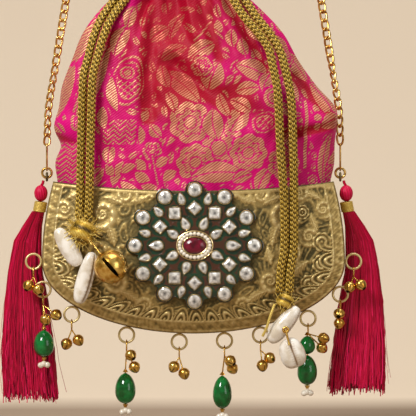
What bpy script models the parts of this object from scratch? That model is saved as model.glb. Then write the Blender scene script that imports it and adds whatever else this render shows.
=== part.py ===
"""Potli bag: a gathered brocade pouch on a domed brass base.

The base has a stone-set brooch and ten soldered edge rings with bells and drop beads.  A chain
handle hooks into a lug at each upper corner, where a silk tassel hangs too.  Two pairs of knitted
drawstring cords close the neck and carry cowrie pendants.

Units are metres, +Z is up and the front faces -Y.  The origin is the middle of the top of the
chain handle, from which the bag hangs.  Every route and profile below is written from the lug
line, the level of the base's rim, which lies HANDLE_RISE below the origin.
"""

import math

import bmesh
import bpy
import numpy as np
from mathutils import Matrix, Vector

MM = 0.001
GAP = 0.3 * MM
LEFT, RIGHT = -1, 1
X_AXIS, Y_AXIS, Z_AXIS = Vector((1, 0, 0)), Vector((0, 1, 0)), Vector((0, 0, 1))

# Base: two domed sheet plates soldered to a strip along their lower and side edges
BASE_WIDTH = 190 * MM
RIM_WIDTH = 176 * MM
BASE_DROP = 95 * MM
WIDEST_DROP = 50 * MM
BASE_DEPTH = 62 * MM
BAND_DEPTH = 24 * MM
SHEET = 0.8 * MM
RIM_DIP = 6 * MM
RIM_FLATTENING = 0.12
DOME_POWER = 0.75
BORDER_WIDTH = 8.5 * MM
EDGE_MARGIN = 2 * MM
RELIEF = 1.2 * MM
PATCH_CORNER = 50
FRONT_STEPS = (38, 16)
BACK_STEPS = (14, 6)
BAND_STEPS = 38

# Repousse of the front plate, the same on both halves: rosettes and scrolls (x, drop, radius),
# and leaves (x, drop, length, turn)
ROSETTES = (
    (80.3 * MM, 37.5 * MM, 6.2 * MM),
    (80 * MM, 51.4 * MM, 6 * MM),
    (72 * MM, 63.8 * MM, 5.8 * MM),
    (62.8 * MM, 70.5 * MM, 5.2 * MM),
    (68 * MM, 19 * MM, 4.6 * MM),
)
SCROLLS = (
    (57 * MM, 20 * MM, 11 * MM),
    (59 * MM, 44 * MM, 8.5 * MM),
    (48 * MM, 62 * MM, 8 * MM),
    (30 * MM, 77 * MM, 7.5 * MM),
    (42 * MM, 8 * MM, 8 * MM),
    (81 * MM, 17 * MM, 6.5 * MM),
)
LEAVES = (
    (52 * MM, 33 * MM, 17 * MM, 70),
    (66 * MM, 55 * MM, 19 * MM, 40),
    (76 * MM, 25 * MM, 14 * MM, 110),
    (40 * MM, 72 * MM, 17 * MM, 30),
    (20 * MM, 83 * MM, 16 * MM, 10),
    (9 * MM, 86 * MM, 14 * MM, 0),
)
LEAF_WIDTH = 4 * MM

# Soldered edge rings, by their angle round the base's lower edge, 0 at the bottom
RING_OUTER = 5.5 * MM
RING_WIRE = 1.5 * MM
RING_ANGLES = (-90, -71.5, -51, -25.5, -5.3, 11.5, 25.5, 47, 68, 90)

# Lugs: a wire eye on each upper corner, and the ring that joins it to the chain
LUG_REACH = 4.4 * MM
EYE_HOLE = 3.1 * MM
EYE_WIRE = 1.5 * MM
LUG_RING_OUTER = 3.8 * MM
LUG_RING_WIRE = 1.6 * MM

# Chain handle
HANDLE_RISE = 198 * MM
STRAIGHT_TOP = 114 * MM
STRAND_LEAN = 11.9 * MM
LEAN_START = 40 * MM
END_LOOP_LENGTH = 17.8 * MM
END_LOOP_WIDTH = 4.4 * MM
END_LOOP_WIRE = 1.1 * MM
LINK_PITCH = 5.6 * MM
LINK_WIDTH = 5.4 * MM
LINK_WIRE = 1.5 * MM
LINK_BITE = 0.14 * MM

# Pouch: height, left and right reach as shares of half the rim's width, half depth, fold height
# and crease depth, each level measured from the lug line
POUCH_TUCK = 14 * MM
POUCH_PROFILE = (
    (12 * MM, 0.993, 0.998, 29.4 * MM, 0.5 * MM, 0.8 * MM),
    (24 * MM, 0.968, 0.998, 31.0 * MM, 0.9 * MM, 1.6 * MM),
    (35 * MM, 1.002, 1.007, 32.0 * MM, 0.9 * MM, 2.2 * MM),
    (47 * MM, 0.973, 0.980, 32.0 * MM, 1.4 * MM, 2.6 * MM),
    (61 * MM, 0.945, 0.841, 30.0 * MM, 1.9 * MM, 3.4 * MM),
    (77 * MM, 0.864, 0.705, 27.0 * MM, 2.4 * MM, 3.8 * MM),
    (94 * MM, 0.773, 0.591, 24.0 * MM, 2.8 * MM, 3.8 * MM),
    (110 * MM, 0.625, 0.415, 20.5 * MM, 3.0 * MM, 2.6 * MM),
    (124 * MM, 0.449, 0.244, 17.0 * MM, 2.6 * MM, 1.5 * MM),
    (137 * MM, 0.330, 0.136, 14.0 * MM, 1.4 * MM, 0),
    (147 * MM, 0.409, 0.205, 18.5 * MM, 4.0 * MM, 0),
    (160 * MM, 0.489, 0.295, 23.0 * MM, 6.0 * MM, 0),
)
NECK_LEVEL = 9

# Main creases of the cloth: both ends (x, height) and half width, the same front and back
CREASES = (
    ((-24 * MM, 116 * MM), (-27 * MM, 44 * MM), 6.5 * MM),
    ((12 * MM, 112 * MM), (20 * MM, 74 * MM), 6 * MM),
    ((48 * MM, 62 * MM), (85 * MM, 36 * MM), 6 * MM),
    ((-92 * MM, 31 * MM), (-70 * MM, 23 * MM), 6 * MM),
    ((-52 * MM, 92 * MM), (-62 * MM, 58 * MM), 6 * MM),
    ((28 * MM, 56 * MM), (56 * MM, 32 * MM), 7 * MM),
    ((-8 * MM, 62 * MM), (-8 * MM, 20 * MM), 7 * MM),
)
CLOTH = 1.4 * MM
CLOTH_CLEARANCE = 1.1 * MM
SECTION_POWER = 2.4
MOUTH_HALF = (9.5 * MM, 7.5 * MM)
AROUND = 60
GATHERS = 14

# Brooch: a domed plate with foiled glass stones in raised settings round a ruby; the rings and
# the stones are shares of its radius
BROOCH_X = 0.8 * MM
BROOCH_DROP = 39.7 * MM
BROOCH_RADIUS = 42 * MM
BROOCH_HEIGHT_RATIO = 0.935
BROOCH_PLATE = 1.6 * MM
BROOCH_SEAT = 0.6 * MM
SCALLOP = 3.4 * MM
STONE_RINGS = {"inner": 0.381, "middle": 0.579, "outer": 0.762, "edge": 0.886}
ROUND_STONE = 0.219
DROP_STONE = (0.129, 0.174)
WIDE_DROP_STONE = (0.150, 0.200)
DIAMOND_STONE = (0.178, 0.202)
SQUARE_STONE = 0.152
DISC_RINGS = (0.643, 0.310)
INNER_ANGLES = (30, 68, 112, 150, 206, 250, 290, 334)
STONE_RISE = 1.9 * MM
STONE_ROOT = 0.8 * MM
RUBY_HALF = (6.9 * MM, 4.9 * MM)
RUBY_RISE = 2.6 * MM
HALO_HALF = (9.4 * MM, 7.4 * MM)
HALO_BEADS = 18
HALO_BEAD = 2.2 * MM

# Dangles on the edge rings
# Bells (aside, drop, forward) and beads (aside, drop, forward, width, length) from each ring
BELL = 7.5 * MM
DANGLES = (
    (((-3.0, 15.1, 3.5), (3.2, 17.6, 5.0)), ()),
    (((1.7, 18.7, 3.4), (8.4, 15.8, 5.0)), ((0.6, 34.0, 2.6, 12.8, 17.0),)),
    (((-3.2, 18.3, 0.8), (4.0, 16.1, -0.8)), ()),
    (((2.6, 12.6, 3.0), (4.9, 20.0, 1.0)), ((-0.8, 33.7, 0.0, 12.9, 19.4),)),
    (((-3.2, 15.5, 0.6), (3.0, 19.8, -0.6)), ()),
    (((3.6, 12.6, 2.8), (4.9, 17.4, -2.8)), ((-1.4, 32.5, 0.0, 11.9, 20.6),)),
    (((1.1, 19.0, 2.1), (5.7, 14.5, -2.1)), ()),
    (
        ((9.5, 12.4, 2.1), (8.7, 18.4, -2.1)),
        ((-0.5, 16.8, 0.0, 10.0, 11.4), (-0.5, 32.6, 0.0, 12.5, 18.8)),
    ),
    (((-0.9, 12.2, 5.0), (-0.6, 18.2, -0.3)), ()),
    (((-2.6, 16.0, 4.6), (4.4, 14.6, 4.0)), ()),
)
JUMP_WIRE = 0.9 * MM
STEM_WIRE = 0.9 * MM
BEAD_BORE = 1.5 * MM
PIN_WIRE = 0.9 * MM
BEAD_CAP = 3.6 * MM
PEARL = 3.8 * MM

# Drawstrings: a ring round the neck and two tails on each side, over the pouch and the plate
CORD = 5.4 * MM
NECK_CORD_CLEARANCE = 2.4 * MM
DRAWCORDS = {
    "drawcord_left_outer": (
        (-35.6, -9.0, 133.0),
        (-42.0, -15.5, 123.0),
        (-50.0, -19.0, 113.0),
        (-57.5, -22.0, 102.0),
        (-62.0, -24.2, 91.0),
        (-65.5, -25.5, 78.0),
        (-68.4, -27.0, 66.0),
        (-69.2, -27.5, 52.0),
        (-69.8, -27.5, 30.0),
        (-70.3, -27.0, 8.0),
        (-70.6, -27.2, -8.0),
        (-71.4, -28.6, -23.3),
    ),
    "drawcord_left_inner": (
        (-30.8, -15.0, 132.6),
        (-36.2, -19.8, 123.0),
        (-43.6, -22.2, 113.0),
        (-51.2, -25.2, 102.0),
        (-56.0, -27.2, 91.0),
        (-59.7, -28.7, 78.0),
        (-62.6, -30.0, 66.0),
        (-63.4, -30.4, 52.0),
        (-64.0, -30.4, 30.0),
        (-64.5, -30.0, 8.0),
        (-64.8, -29.8, -8.0),
        (-65.6, -30.0, -23.3),
    ),
    "drawcord_right_inner": (
        (12.4, -15.8, 132.6),
        (18.6, -19.6, 124.0),
        (24.8, -22.0, 114.0),
        (31.7, -25.0, 103.0),
        (40.4, -27.4, 93.0),
        (46.7, -29.2, 83.0),
        (49.4, -31.0, 72.0),
        (51.7, -32.0, 61.0),
        (52.9, -32.6, 48.0),
        (54.2, -32.4, 20.0),
        (56.1, -31.8, -5.0),
        (56.6, -31.0, -17.6),
        (56.6, -30.8, -41.4),
        (54.6, -30.8, -54.0),
        (53.6, -30.8, -69.2),
    ),
    "drawcord_right_outer": (
        (18.0, -9.0, 133.0),
        (25.2, -13.2, 124.0),
        (32.3, -16.6, 114.0),
        (39.5, -20.0, 103.0),
        (47.4, -22.6, 93.0),
        (53.4, -25.0, 83.0),
        (56.8, -27.0, 72.0),
        (59.3, -28.4, 61.0),
        (61.2, -29.2, 48.0),
        (62.2, -29.4, 20.0),
        (62.6, -29.2, -5.0),
        (62.6, -29.2, -17.6),
        (62.4, -29.4, -41.4),
        (60.6, -30.0, -54.0),
        (59.6, -30.6, -69.2),
    ),
}
CORD_POINTS = 20

# Pendants: knots (x, y, z), and cowries from tip to tip with their width
LEFT_KNOT_PLACE = (-68.7 * MM, -30.8 * MM, -31.0 * MM)
RIGHT_KNOT_PLACE = (57.0 * MM, -30.8 * MM, -74.6 * MM)
COWRIES = {
    "cowrie_left_outer": ((-85.1, -29.8, -28.9), (-71.1, -29.8, -52.4), 10.6),
    "cowrie_left_inner": ((-62.6, -30.5, -43.5), (-71.6, -29.5, -76.0), 10.4),
    "cowrie_right_upper": ((65.6, -31.5, -77.9), (47.2, -30.5, -99.9), 10.8),
    "cowrie_right_lower": ((58.0, -31.5, -97.4), (65.0, -31.5, -115.6), 15.0),
}
PENDANT_PIN = ((57.4, -35.6, -92.0), (59.6, -38.2, -101.5))
PENDANT_PIN_WIRE = 1.4 * MM
BIG_BELL_PLACE = (-51.3 * MM, -39.8 * MM, -52.8 * MM)
LEFT_KNOT = 15 * MM
RIGHT_KNOT = 10 * MM
BIG_BELL = 20.7 * MM
BIG_BELL_WALL = 0.9 * MM
BIG_BELL_SLOT = 2.6 * MM
BIG_BELL_SLOT_LENGTH = 15 * MM
PEA = 5 * MM
TASSEL_HEAD = (8.6 * MM, 10.4 * MM)
WRAP_OUTER = 8.4 * MM
WRAP_BORE = 6.8 * MM
WRAP_HEIGHT = 5.6 * MM
SKIRT_STRANDS = 9
# Skirt: drop below the lug line, inner and outer reach beside the rim, front and back
SKIRT_PROFILE = (
    (23 * MM, 1.0 * MM, 10.0 * MM, 1.6 * MM, 10.0 * MM),
    (37 * MM, 1.4 * MM, 18.5 * MM, 6.2 * MM, 15.5 * MM),
    (54 * MM, 1.4 * MM, 22.0 * MM, 6.4 * MM, 19.0 * MM),
    (74 * MM, -2.5 * MM, 24.5 * MM, 6.4 * MM, 21.0 * MM),
    (98 * MM, -5.5 * MM, 25.8 * MM, 6.0 * MM, 21.5 * MM),
    (120 * MM, -7.5 * MM, 25.8 * MM, 6.0 * MM, 21.5 * MM),
    (136 * MM, -9.0 * MM, 25.0 * MM, 6.0 * MM, 21.5 * MM),
)
TASSEL_DROP = 0.8 * MM
TASSEL_BACK = 1.3 * MM
TASSEL_CLEARANCE = 0.9 * MM

# Colours, roughness and metalness of each finish
ANTIQUE_BRASS = ((0.52, 0.38, 0.16), 0.38, 1.0)
GOLD = ((0.83, 0.58, 0.16), 0.25, 1.0)
BROCADE = ((0.72, 0.02, 0.20), 0.55, 0.0)
SILK = ((0.55, 0.01, 0.08), 0.45, 0.0)
GOLD_THREAD = ((0.70, 0.48, 0.10), 0.45, 0.4)
EMERALD = ((0.01, 0.16, 0.06), 0.08, 0.0)
PEARL_WHITE = ((0.85, 0.80, 0.70), 0.25, 0.0)
SHELL = ((0.88, 0.84, 0.76), 0.30, 0.0)
KUNDAN = ((0.70, 0.68, 0.60), 0.20, 0.3)
RUBY = ((0.35, 0.0, 0.05), 0.08, 0.0)

materials = {}


def finish(name, values):
    """The named material, made once."""
    if name not in materials:
        colour, roughness, metallic = values
        material = bpy.data.materials.new(name)
        material.use_nodes = True
        shader = material.node_tree.nodes["Principled BSDF"]
        shader.inputs["Base Color"].default_value = (*colour, 1)
        shader.inputs["Roughness"].default_value = roughness
        shader.inputs["Metallic"].default_value = metallic
        material.diffuse_color = (*colour, 1)
        materials[name] = material
    return materials[name]


def empty(name, place, parent=None):
    """An empty at a place measured from the lug line, carried by its parent."""
    axis = bpy.data.objects.new(name, None)
    bpy.context.scene.collection.objects.link(axis)
    axis["place"] = tuple(place)
    axis.parent = parent
    axis.location = Vector(place) - (Vector(parent["place"]) if parent else Vector((0, 0, HANDLE_RISE)))
    return axis


def carry(thing, axis):
    """Parents the object to the empty and keeps its place."""
    thing.data.transform(Matrix.Translation(-Vector(axis["place"])))
    thing.parent = axis
    return thing


def node(name, shape, material, axis, crease=40):
    """A named object from a bmesh, shaded smooth up to the crease angle."""
    bmesh.ops.recalc_face_normals(shape, faces=shape.faces)
    mesh = bpy.data.meshes.new(name)
    shape.to_mesh(mesh)
    shape.free()
    mesh.materials.append(material)
    mesh.shade_smooth()
    mesh.set_sharp_from_angle(angle=math.radians(crease))
    thing = bpy.data.objects.new(name, mesh)
    bpy.context.scene.collection.objects.link(thing)
    return carry(thing, axis)


def evaluated(thing):
    """The object's mesh with its modifiers applied, as a bmesh."""
    graph = bpy.context.evaluated_depsgraph_get()
    shape = bmesh.new()
    shape.from_object(thing, graph)
    return shape


def joined(first, others, operation="UNION"):
    """The Boolean of one bmesh with a list of others, as a new bmesh."""
    helpers = []
    for shape in (first, *others):
        bmesh.ops.recalc_face_normals(shape, faces=shape.faces)
        mesh = bpy.data.meshes.new("helper")
        shape.to_mesh(mesh)
        shape.free()
        helper = bpy.data.objects.new("helper", mesh)
        bpy.context.scene.collection.objects.link(helper)
        helpers.append(helper)
    for helper in helpers[1:]:
        boolean = helpers[0].modifiers.new("join", "BOOLEAN")
        boolean.operation = operation
        boolean.solver = "EXACT"
        boolean.object = helper
    bpy.context.view_layer.update()
    result = evaluated(helpers[0])
    for helper in helpers:
        bpy.data.objects.remove(helper)
    return result


def loft(shape, rings, closed=False):
    """Skins rings of equally many points; the ends are capped, or joined when closed."""
    made = [[shape.verts.new(point) for point in ring] for ring in rings]
    pairs = list(zip(made, made[1:]))
    if closed:
        pairs.append((made[-1], made[0]))
    for low, high in pairs:
        count = len(low)
        for i in range(count):
            j = (i + 1) % count
            shape.faces.new((low[i], low[j], high[j], high[i]))
    if not closed:
        shape.faces.new(made[0][::-1])
        shape.faces.new(made[-1])
    return made


def wire_loop(shape, path, normal, radius, sides):
    """A closed wire along a flat path; a side of its section faces the middle of the loop."""
    count = len(path)
    rings = []
    for i, point in enumerate(path):
        before = (point - path[i - 1]).normalized()
        after = (path[(i + 1) % count] - point).normalized()
        outward = (before + after).normalized().cross(normal)
        mitre = 1 / max(0.5, math.cos(before.angle(after) / 2))
        rings.append(
            [
                point
                + outward * radius * mitre * math.cos(turn)
                + normal * radius * math.sin(turn)
                for turn in (2 * math.pi * k / sides for k in range(sides))
            ]
        )
    loft(shape, rings, closed=True)


def stadium_path(centre, along, across, half_length, half_width):
    """Points round a long loop with straight flanks and round ends."""
    points = []
    for end in (1, -1):
        for angle in (67.5, 22.5, -22.5, -67.5):
            turn = math.radians(angle) + (0 if end == 1 else math.pi)
            reach = end * (half_length - half_width) + half_width * math.cos(turn)
            points.append(centre + along * reach + across * half_width * math.sin(turn))
    return points


def ring_wire(shape, centre, along, across, outer, wire, steps, sides=3):
    """A round ring of wire in the plane of the two directions."""
    reach = outer - wire / 2
    path = [
        centre + (along * math.cos(t) + across * math.sin(t)) * reach
        for t in (2 * math.pi * k / steps for k in range(steps))
    ]
    wire_loop(shape, path, across.cross(along), wire / 2, sides)


def rod(shape, start, end, radius, sides=5, end_radius=None):
    """A straight wire or cone between two points."""
    axis = end - start
    turn = axis.to_track_quat("Z", "Y").to_matrix().to_4x4()
    bmesh.ops.create_cone(
        shape,
        cap_ends=True,
        segments=sides,
        radius1=radius,
        radius2=radius if end_radius is None else end_radius,
        depth=axis.length,
        matrix=Matrix.Translation((start + end) / 2) @ turn,
    )


def ball(shape, centre, radius, around=8, up=5):
    """A faceted ball."""
    bmesh.ops.create_uvsphere(
        shape,
        u_segments=around,
        v_segments=up,
        radius=radius,
        matrix=Matrix.Translation(centre),
    )


def turned(shape, profile, around):
    """Spins (radius, height) points about Z; a profile that starts and ends alike is a ring."""
    ring = profile[0] == profile[-1]
    points = profile[:-1] if ring else profile
    rings = []
    for k in range(around):
        turn = 2 * math.pi * k / around
        rings.append([(r * math.cos(turn), r * math.sin(turn), z) for r, z in points])
    if ring:
        loft(shape, rings, closed=True)
        return
    bottom = shape.verts.new((0, 0, points[0][1]))
    top = shape.verts.new((0, 0, points[-1][1]))
    made = [[shape.verts.new(p) for p in side[1:-1]] for side in rings]
    for k in range(around):
        here, there = made[k], made[(k + 1) % around]
        shape.faces.new((bottom, there[0], here[0]))
        shape.faces.new((top, here[-1], there[-1]))
        for low in range(len(here) - 1):
            shape.faces.new((here[low], there[low], there[low + 1], here[low + 1]))


def smooth_route(points, count):
    """Evenly spaced points on a smooth curve through the route's own points."""
    route = [Vector(p) for p in points]
    ends = [2 * route[0] - route[1], *route, 2 * route[-1] - route[-2]]
    fine = []
    for i in range(1, len(ends) - 2):
        a, b, c, d = ends[i - 1 : i + 3]
        for k in range(24):
            t = k / 24
            fine.append(
                0.5
                * (
                    2 * b
                    + (c - a) * t
                    + (2 * a - 5 * b + 4 * c - d) * t**2
                    + (3 * b - a - 3 * c + d) * t**3
                )
            )
    fine.append(route[-1])
    reach = np.concatenate([[0], np.cumsum([(q - p).length for p, q in zip(fine, fine[1:])])])
    even = np.linspace(0, reach[-1], count)
    columns = [np.interp(even, reach, [p[axis] for p in fine]) for axis in range(3)]
    return [Vector(p) for p in zip(*columns)], reach[-1]


def base_half_width(z):
    """Half the width of the base at a height from the lug line."""
    rise = (z + WIDEST_DROP) / WIDEST_DROP
    if rise >= 0:
        return BASE_WIDTH / 2 - (BASE_WIDTH - RIM_WIDTH) / 2 * min(rise, 1) ** 2
    fall = (z + WIDEST_DROP) / (BASE_DROP - WIDEST_DROP)
    return BASE_WIDTH / 2 * math.sqrt(max(0, 1 - fall**2))


def plate_edge_half():
    """Half the depth of the base at the plates' soldered edge."""
    return BAND_DEPTH / 2 + GAP + SHEET


def edge_share(x, z):
    """0 at the middle of the base and 1 on its outline."""
    fall = min(z + WIDEST_DROP, 0) / (BASE_DROP - WIDEST_DROP)
    wide = BASE_WIDTH / 2 if z < -WIDEST_DROP else base_half_width(z)
    return min(1, (x / wide) ** 2 + fall**2)


def dome_depth(x, z):
    """Half the depth of the base, without relief, at a point of its front view."""
    rise = max(0, z + WIDEST_DROP) / WIDEST_DROP
    swell = (1 - edge_share(x, z)) ** DOME_POWER * (1 - RIM_FLATTENING * rise**2)
    edge = plate_edge_half()
    return edge + (BASE_DEPTH / 2 - edge) * swell


def rim_height(x):
    """The plates' upper edge dips in the middle."""
    return -RIM_DIP * (1 - (2 * x / RIM_WIDTH) ** 2)


def lower_edge(angle):
    """A point of the base's lower outline and its outward normal; 0 degrees is the bottom."""
    turn = math.radians(angle)
    wide, tall = BASE_WIDTH / 2, BASE_DROP - WIDEST_DROP
    point = Vector((wide * math.sin(turn), 0, -WIDEST_DROP - tall * math.cos(turn)))
    normal = Vector((math.sin(turn) / wide, 0, -math.cos(turn) / tall)).normalized()
    return point, normal


def side_edge(share):
    """A point of the left outline, from the rim (0) to the patch corner (1)."""
    straight = 0.57
    if share <= straight:
        z = -WIDEST_DROP * share / straight
        return Vector((-base_half_width(z), 0, z))
    angle = 90 - (90 - PATCH_CORNER) * (share - straight) / (1 - straight)
    return lower_edge(-angle)[0]


def outline_patch(across, down):
    """A point inside the base's outline, from shares across and down a four-sided patch."""
    left = side_edge(down)
    right = Vector((-left.x, 0, left.z))
    top_x = RIM_WIDTH * (across - 0.5)
    top = Vector((top_x, 0, rim_height(top_x)))
    bottom = lower_edge(PATCH_CORNER * (2 * across - 1))[0]
    corners = [side_edge(0), side_edge(1)]
    mixed = (
        corners[0] * ((1 - across) * (1 - down))
        + Vector((-corners[0].x, 0, corners[0].z)) * (across * (1 - down))
        + corners[1] * ((1 - across) * down)
        + Vector((-corners[1].x, 0, corners[1].z)) * (across * down)
    )
    return top * (1 - down) + bottom * down + left * (1 - across) + right * across - mixed


def relief(x, z):
    """Height of the repousse: a raised border, rosettes, scrolls and leaves, flat behind the brooch."""
    inward = (1 - math.sqrt(edge_share(x, z))) * BASE_WIDTH / 2
    if inward < EDGE_MARGIN:
        return 0
    height = 0.55 if inward < BORDER_WIDTH else 0
    for rosette_x, drop, radius in ROSETTES:
        away = math.hypot(abs(x) - rosette_x, z + drop) / radius
        if away < 1:
            height = max(height, 0.35 + 0.65 * math.cos(away * math.pi / 2))
    for scroll_x, drop, radius in SCROLLS:
        away = math.hypot(abs(x) - scroll_x, z + drop) / radius
        if away < 1:
            height = max(height, 0.25 + 0.7 * math.cos((away - 0.55) * math.pi) ** 2)
    for leaf_x, drop, length, angle in LEAVES:
        turn = math.radians(angle)
        dx, dz = abs(x) - leaf_x, z + drop
        along = (dx * math.cos(turn) + dz * math.sin(turn)) / (length / 2)
        off = (dz * math.cos(turn) - dx * math.sin(turn)) / LEAF_WIDTH
        if along**2 + off**2 < 1:
            height = max(height, 0.8 * (1 - along**2 - off**2) ** 0.5)
    from_brooch = math.hypot(x - BROOCH_X, (z + BROOCH_DROP) / BROOCH_HEIGHT_RATIO)
    fade = min(1, max(0, (from_brooch - BROOCH_RADIUS) / (5 * MM)))
    return RELIEF * height * fade


def plate(name, side, grid, axis, with_relief):
    """One domed plate; side is -1 for the front and +1 for the back."""
    shape = bmesh.new()
    bmesh.ops.create_grid(shape, x_segments=grid[0], y_segments=grid[1], size=0.5)
    for vert in shape.verts:
        spot = outline_patch(vert.co.x + 0.5, vert.co.y + 0.5)
        depth = dome_depth(spot.x, spot.z)
        if with_relief:
            depth += relief(spot.x, spot.z)
        vert.co = (spot.x, side * depth, spot.z)
    for face in shape.faces:
        face.normal_update()
    if sum(face.normal.y for face in shape.faces) * side < 0:
        bmesh.ops.reverse_faces(shape, faces=shape.faces)
    mesh = bpy.data.meshes.new(name)
    shape.to_mesh(mesh)
    shape.free()
    mesh.materials.append(finish("antique_brass", ANTIQUE_BRASS))
    mesh.shade_smooth()
    thing = bpy.data.objects.new(name, mesh)
    bpy.context.scene.collection.objects.link(thing)
    sheet = thing.modifiers.new("sheet", "SOLIDIFY")
    sheet.thickness = SHEET
    sheet.offset = -1
    return carry(thing, axis)


def lug_x():
    """How far each lug's eye lies from the middle."""
    return RIM_WIDTH / 2 + LUG_REACH


def lug_axis_height():
    """The height at which the lug rings carry the eyes: the middle of each ring's lower wire."""
    return LUG_RING_WIRE / 2 + 2 * MM


def edge_band(axis):
    """The strip between the plates, with a wire eye on each upper corner."""
    strip = bmesh.new()
    sections = []
    points = [side_edge(k / 12) for k in range(13)]
    steps = BAND_STEPS - 24
    points += [lower_edge(PATCH_CORNER * (2 * k / steps - 1))[0] for k in range(1, steps)]
    points += [Vector((-p.x, 0, p.z)) for p in points[12::-1]]
    half = BAND_DEPTH / 2
    for i, point in enumerate(points):
        along = points[min(i + 1, len(points) - 1)] - points[max(i - 1, 0)]
        inward = Y_AXIS.cross(along).normalized() * -SHEET
        sections.append(
            [
                point - Y_AXIS * half,
                point + Y_AXIS * half,
                point + inward + Y_AXIS * half,
                point + inward - Y_AXIS * half,
            ]
        )
    loft(strip, sections)
    eyes = bmesh.new()
    posts = bmesh.new()
    reach = (EYE_HOLE + EYE_WIRE) / 2
    eye_height = lug_axis_height() + LUG_RING_WIRE / 2 + GAP + EYE_WIRE / 2 - reach
    for side in (LEFT, RIGHT):
        centre = Vector((side * lug_x(), 0, eye_height))
        ring_wire(eyes, centre, Z_AXIS, Y_AXIS, reach + EYE_WIRE / 2, EYE_WIRE, 8, 4)
        foot = Vector((side * (base_half_width(-3 * MM) - SHEET / 2), 0, -3 * MM))
        rod(posts, foot, centre - Z_AXIS * reach, 1 * MM, 6)
    shape = joined(strip, [eyes, posts])
    return node("edge_band", shape, finish("antique_brass", ANTIQUE_BRASS), axis)


def pouch_section(level):
    """Centre, half width, half depth, fold height, height and crease depth of a level."""
    height, left, right, depth, fold, crease = POUCH_PROFILE[level]
    reach = RIM_WIDTH / 2
    return (right - left) / 2 * reach, (right + left) / 2 * reach, depth, fold, height, crease


def tucked_section(height):
    """The same below the rim, where the cloth lies inside the plates."""
    inset = SHEET + GAP + CLOTH_CLEARANCE
    half = base_half_width(height) - inset
    return 0, half, dome_depth(0, height) - inset - 0.5 * MM, 0, height, 0


def fold_wave(turn, share):
    """Broad folds low down that gather into even pleats at the neck; between -1 and 1."""
    broad = 0.6 * math.cos(5 * turn + 0.8) + 0.4 * math.cos(8 * turn + 2.1)
    pleats = math.cos(GATHERS * turn + 0.3)
    return broad * (1 - share) + pleats * share


def crease_share(x, height):
    """1 in the middle of a crease and 0 away from them all."""
    place = Vector((x, height))
    share = 0
    for start, end, wide in CREASES:
        start, end = Vector(start), Vector(end)
        run = end - start
        along = min(1, max(0, (place - start).dot(run) / run.length_squared))
        away = (place - start - run * along).length / wide
        share = max(share, math.exp(-(away**2)) * (1 - 0.4 * along))
    return share


def even_turns(count):
    """Turns round the pouch whose points lie evenly along its widest outline."""
    fine = np.linspace(0, 2 * math.pi, 64 * count + 1)
    _, half, depth, *_ = pouch_section(2)
    power = 2 / SECTION_POWER
    x = np.sign(np.cos(fine)) * np.abs(np.cos(fine)) ** power * half
    y = np.sign(np.sin(fine)) * np.abs(np.sin(fine)) ** power * depth
    reach = np.concatenate([[0], np.cumsum(np.hypot(np.diff(x), np.diff(y)))])
    return np.interp(np.arange(count) / count, reach / reach[-1], fine)


def section_point(section, turn, wave, inset=0):
    """A point of a level's outline, moved in by the inset; an inner wall also clears the creases."""
    centre, half, depth, fold, height, crease = section
    reach = fold * wave - inset
    c, s = math.cos(turn), math.sin(turn)
    power = 2 / SECTION_POWER
    x = centre + math.copysign(abs(c) ** power, c) * (half + reach)
    bite = crease * (1 if inset else crease_share(x, height))
    y = math.copysign(abs(s) ** power, s) * (depth + reach - bite)
    return (x, y, height)


def pouch(axis):
    """The cloth pouch, a tube that is gathered at the neck and opens into a ruffle."""
    levels = [tucked_section(-POUCH_TUCK), tucked_section(0)]
    levels += [pouch_section(i) for i in range(len(POUCH_PROFILE))]
    neck = NECK_LEVEL + 2
    turns = even_turns(AROUND)
    shape = bmesh.new()
    outer = []
    for index, section in enumerate(levels):
        share = min(1, max(0, (index - 3) / (neck - 4)))
        ring = []
        for turn in turns:
            ring.append(shape.verts.new(section_point(section, turn, fold_wave(turn, share))))
        outer.append(ring)
    inner = []
    for index, section in enumerate(levels):
        inset = section[3] + CLOTH
        closing = min(1, max(0, (index - neck + 2) / 2))
        if index > neck:
            closing = max(0.45, 1 - 0.25 * (index - neck))
        ring = []
        for k in range(AROUND // 2):
            turn = (turns[2 * k] + turns[2 * k + 1]) / 2
            wide = section_point(section, turn, 0, inset)
            narrow = (
                section[0] + MOUTH_HALF[0] * math.cos(turn),
                MOUTH_HALF[1] * math.sin(turn),
                section[4],
            )
            mixed = [w * (1 - closing) + n * closing for w, n in zip(wide, narrow)]
            ring.append(shape.verts.new(mixed))
        inner.append(ring)
    for low, high in zip(outer, outer[1:]):
        for k in range(AROUND):
            j = (k + 1) % AROUND
            shape.faces.new((low[k], low[j], high[j], high[k]))
    half = AROUND // 2
    for low, high in zip(inner, inner[1:]):
        for k in range(half):
            j = (k + 1) % half
            shape.faces.new((low[j], low[k], high[k], high[j]))
    for wide, narrow, flip in ((outer[0], inner[0], True), (outer[-1], inner[-1], False)):
        for k in range(half):
            j = (k + 1) % half
            corner = (wide[2 * k], wide[2 * k + 1], narrow[k])
            side = (wide[2 * k + 1], wide[(2 * k + 2) % AROUND], narrow[j], narrow[k])
            shape.faces.new(corner[::-1] if flip else corner)
            shape.faces.new(side[::-1] if flip else side)
    return node("pouch", shape, finish("brocade", BROCADE), axis, crease=75)


def on_plate(u, v, height):
    """Bends a flat point of the brooch onto the front plate's dome."""
    x, z = BROOCH_X + u, -BROOCH_DROP + v
    return (x, -(dome_depth(x, min(z, 0)) + BROOCH_SEAT + height), z)


def bend_to_plate(shape):
    """Bends a brooch piece modelled flat, with X across, Y up the plate and Z outward."""
    for vert in shape.verts:
        vert.co = on_plate(*vert.co)


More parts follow.
